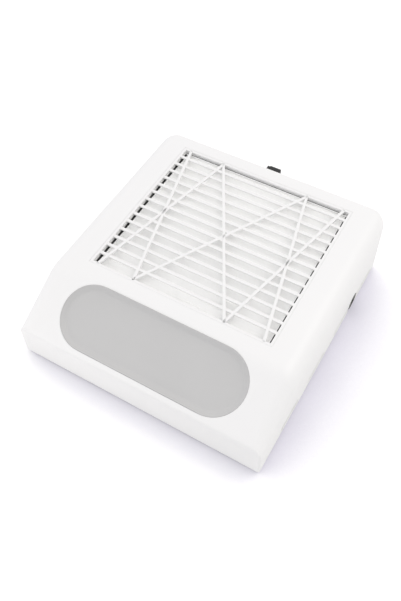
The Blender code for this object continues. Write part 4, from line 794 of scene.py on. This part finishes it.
# Copper tracks about 1.2 mm apart show as paler bands under the glossy solder lacquer.
set_shader(shader, Roughness=0.3, Coat_Weight=0.3, Coat_Roughness=0.15)
tracks = add_node(tree, "ShaderNodeTexBrick", {
    "Vector": place, "Color1": linear("1E5B34"), "Color2": linear("1A5230"),
    "Mortar": linear("2F7A49"), "Scale": 60.0, "Mortar Size": 0.02, "Brick Width": 0.35,
    "Row Height": 0.07})
tree.links.new(tracks.outputs["Color"], shader.inputs["Base Color"])
relief = add_node(tree, "ShaderNodeBump", {"Height": tracks.outputs["Fac"], "Distance": 0.00003})
tree.links.new(relief.outputs[0], shader.inputs["Normal"])
finished_copy("driver_board", "board_plate", 0.0, green_lacquer, "housing", "circuit_board")

sleeve, tree, shader, place = new_material("printed_pvc_sleeve")
# A shrunk sleeve is smooth and glossy, with the pale band that marks the negative lead.
set_shader(shader, Roughness=0.25)
parts = add_node(tree, "ShaderNodeSeparateXYZ", {"Vector": place})
band = add_node(tree, "ShaderNodeMath", {0: parts.outputs["X"], 1: MARKED_FROM},
                operation="GREATER_THAN")
tone = add_node(tree, "ShaderNodeMix", {0: band.outputs[0], 6: linear("1B1D3A"),
                                        7: linear("B9BCC4")}, data_type="RGBA")
tree.links.new(tone.outputs[2], shader.inputs["Base Color"])
capacitor = turned("electrolytic_capacitor", [
    (0.0046, 0.0), (0.0050, 0.0004), (0.0050, 0.0012), (0.0047, 0.0017), (0.0050, 0.0022),
    (0.0050, 0.0136), (0.0046, 0.0140), (0.0040, 0.0140), (0.0038, 0.0138)], 48)
dress(capacitor, 0.0001, sleeve, CAPACITOR_PLACE)
fit_out(capacitor, "housing", "capacitor_sleeve", "board_capacitor")

extruded = worked_metal("extruded_aluminium", "C6C8CA", 0.34, (2600, 120, 2600), 0.00001)
finished_copy("board_heat_sink", "finned_heat_sink", 0.0002, extruded, "housing", "fin_aluminium")
natural_pa = moulded_plastic("natural_polyamide", ("E4DCC6", "DCD3BC"), 0.4, 0.0004, 0.00002)
for purpose in ("switch", "motor", "inlet"):
    finished_copy("connector_" + purpose, "plug_" + purpose, 0.0003, natural_pa,
                  "housing", "connector_nylon")


# Leads: three silicone-sleeved leads inside the housing, laid along the bottom cover from the
# inlet, the switch and the motor to their connectors on the board.

LEAD_RADIUS = 0.0012
DUST_SHARE = 0.18


def sleeved_lead(name, node, slot, colour, points):
    """A round lead through points in millimetres, in a sleeve of its own colour."""
    silicone, tree, shader, place = new_material(name + "_silicone_sleeve")
    set_shader(shader, Roughness=0.5)
    dust = add_node(tree, "ShaderNodeTexNoise", {"Vector": place, "Scale": 700.0, "Detail": 3.0})
    faint = add_node(tree, "ShaderNodeMapRange", {"Value": dust.outputs["Fac"],
                                                  "To Max": DUST_SHARE})
    tone = add_node(tree, "ShaderNodeMix", {0: faint.outputs[0], 6: linear(colour),
                                            7: linear("5A5A5A")}, data_type="RGBA")
    tree.links.new(tone.outputs[2], shader.inputs["Base Color"])
    line = drawn_line(name, [[value / 1000 for value in point] for point in points])
    line.data.bevel_depth = LEAD_RADIUS
    line.data.bevel_resolution = 4
    line.data.resolution_u = 10
    line.data.use_fill_caps = True
    bpy.ops.object.convert(target="MESH")
    bpy.ops.object.mode_set(mode="EDIT")
    clean_mesh()
    bpy.ops.object.shade_smooth_by_angle(angle=SOFT_ANGLE)
    line.data.materials.append(silicone)
    fit_out(line, "housing", slot, node)


sleeved_lead("inlet_wiring", "lead_inlet", "inlet_lead_sleeve", "1C1C1C", [
    (100.9, 65.8, 12.5), (98.5, 65.8, 12.5), (94.6, 60.8, 7.4), (94.6, 32.9, 7.4),
    (94.6, 0.0, 7.4), (94.6, -39.2, 7.4), (83.4, -63.4, 7.4), (66.6, -68.4, 14.0),
    (66.6, -75.9, 16.9), (66.6, -78.4, 16.9)])
sleeved_lead("switch_wiring", "lead_switch", "switch_lead_sleeve", "8E1B1B", [
    (0.0, 124.5, 54.7), (0.0, 124.5, 49.7), (0.0, 124.5, 31.1), (-5.0, 124.5, 12.4),
    (-15.0, 119.5, 7.4), (-58.2, 112.0, 7.4), (-90.2, 89.6, 7.4), (-97.0, 37.3, 7.4),
    (-97.0, 0.0, 7.4), (-97.0, -35.3, 7.4), (-77.6, -62.7, 7.4), (-29.1, -67.4, 7.4),
    (27.4, -68.4, 14.0), (27.4, -75.9, 16.9), (27.4, -78.4, 16.9)])
sleeved_lead("motor_wiring", "lead_motor", "motor_lead_sleeve", "24487F", [
    (0.0, 3.6, 12.8), (0.0, -1.4, 12.8), (11.7, -29.2, 12.8), (32.9, -53.8, 12.8),
    (47.0, -68.4, 15.7), (47.0, -75.9, 16.9), (47.0, -78.4, 16.9)])


# Screws: zinc plated self-tapping screws with pan heads and a cross recess, made once short and
# once long and copied to their places, which are in millimetres.

SCREW_PITCH = 0.0011
SCREW_TIP = 0.0012
SHANK_RADIUS = 0.0010
THREAD_RADIUS = 0.0013
HEAD = [(0.0030, 0.0), (0.0030, 0.0007), (0.0027, 0.0013), (0.0020, 0.0017), (0.0010, 0.0020)]
RECESS_LEVEL = 0.0020
RECESS_WING = (0.0028, 0.0006, 0.0022)
UPRIGHT = Matrix.Identity(4)
UPSIDE_DOWN = Matrix.Rotation(math.pi, 4, "X")

zinc_wire = worked_metal("zinc_plated_wire", "BFC1C2", 0.3, (1500, 1500, 1500), 0.00001)


def screw(name, length):
    """A screw along +Z with its head's seat at the origin and its shank below it."""
    profile = [(0.0002, -length), (0.0009, SCREW_TIP - length)]
    for index in range(int((length - 2 * SCREW_TIP) / SCREW_PITCH)):
        root = SCREW_TIP - length + SCREW_PITCH * (index + 0.25)
        profile += [(SHANK_RADIUS, root), (THREAD_RADIUS, root + SCREW_PITCH / 2),
                    (SHANK_RADIUS, root + SCREW_PITCH * 0.7)]
    made = turned(name, profile + [(SHANK_RADIUS, 0.0)] + HEAD, 24)
    for turn in (0.0, math.pi / 2):
        bpy.ops.mesh.primitive_cube_add(size=1.0, location=(0, 0, RECESS_LEVEL),
                                        rotation=(0, 0, turn))
        wing = bpy.context.object
        wing.dimensions = RECESS_WING
        settle(wing)
        recess = made.modifiers.new("recess", "BOOLEAN")
        recess.object = wing
        recess.solver = "EXACT"
        apply_all(made)
        bpy.data.objects.remove(wing)
    bpy.ops.object.shade_smooth_by_angle(angle=MOULDED_ANGLE)
    made.data.materials.append(zinc_wire)
    return made


short_screw = screw("short_screw", 0.0049)
long_screw = screw("long_screw", 0.0117)
for kind, group, level, pose, places in (
        (short_screw, "board_screw_", 13.4, UPRIGHT,
         ((16.5, -118.2), (16.5, -83.2), (77.5, -118.2), (77.5, -83.2))),
        (short_screw, "motor_screw_", 10.4, UPRIGHT,
         ((0.0, 52.84), (-23.38, 12.34), (23.38, 12.34))),
        (long_screw, "deck_screw_", 43.0, UPSIDE_DOWN,
         ((104.9, -32.3), (-104.9, -32.3), (104.9, 84.0), (-104.9, 84.0))),
        (long_screw, "case_screw_", 5.3, UPSIDE_DOWN,
         ((112.0, -122.7), (-112.0, -122.7), (112.0, 113.8), (-112.0, 113.8)))):
    for number, (x, y) in enumerate(places, 1):
        spot = Matrix.Translation((x / 1000, y / 1000, level / 1000)) @ pose
        fixing = placed_copy(kind, "tapping_" + group + str(number), spot)
        fit_out(fixing, "housing", "zinc_plated_steel", group + str(number))
for kind in (short_screw, long_screw):
    bpy.data.objects.remove(kind)
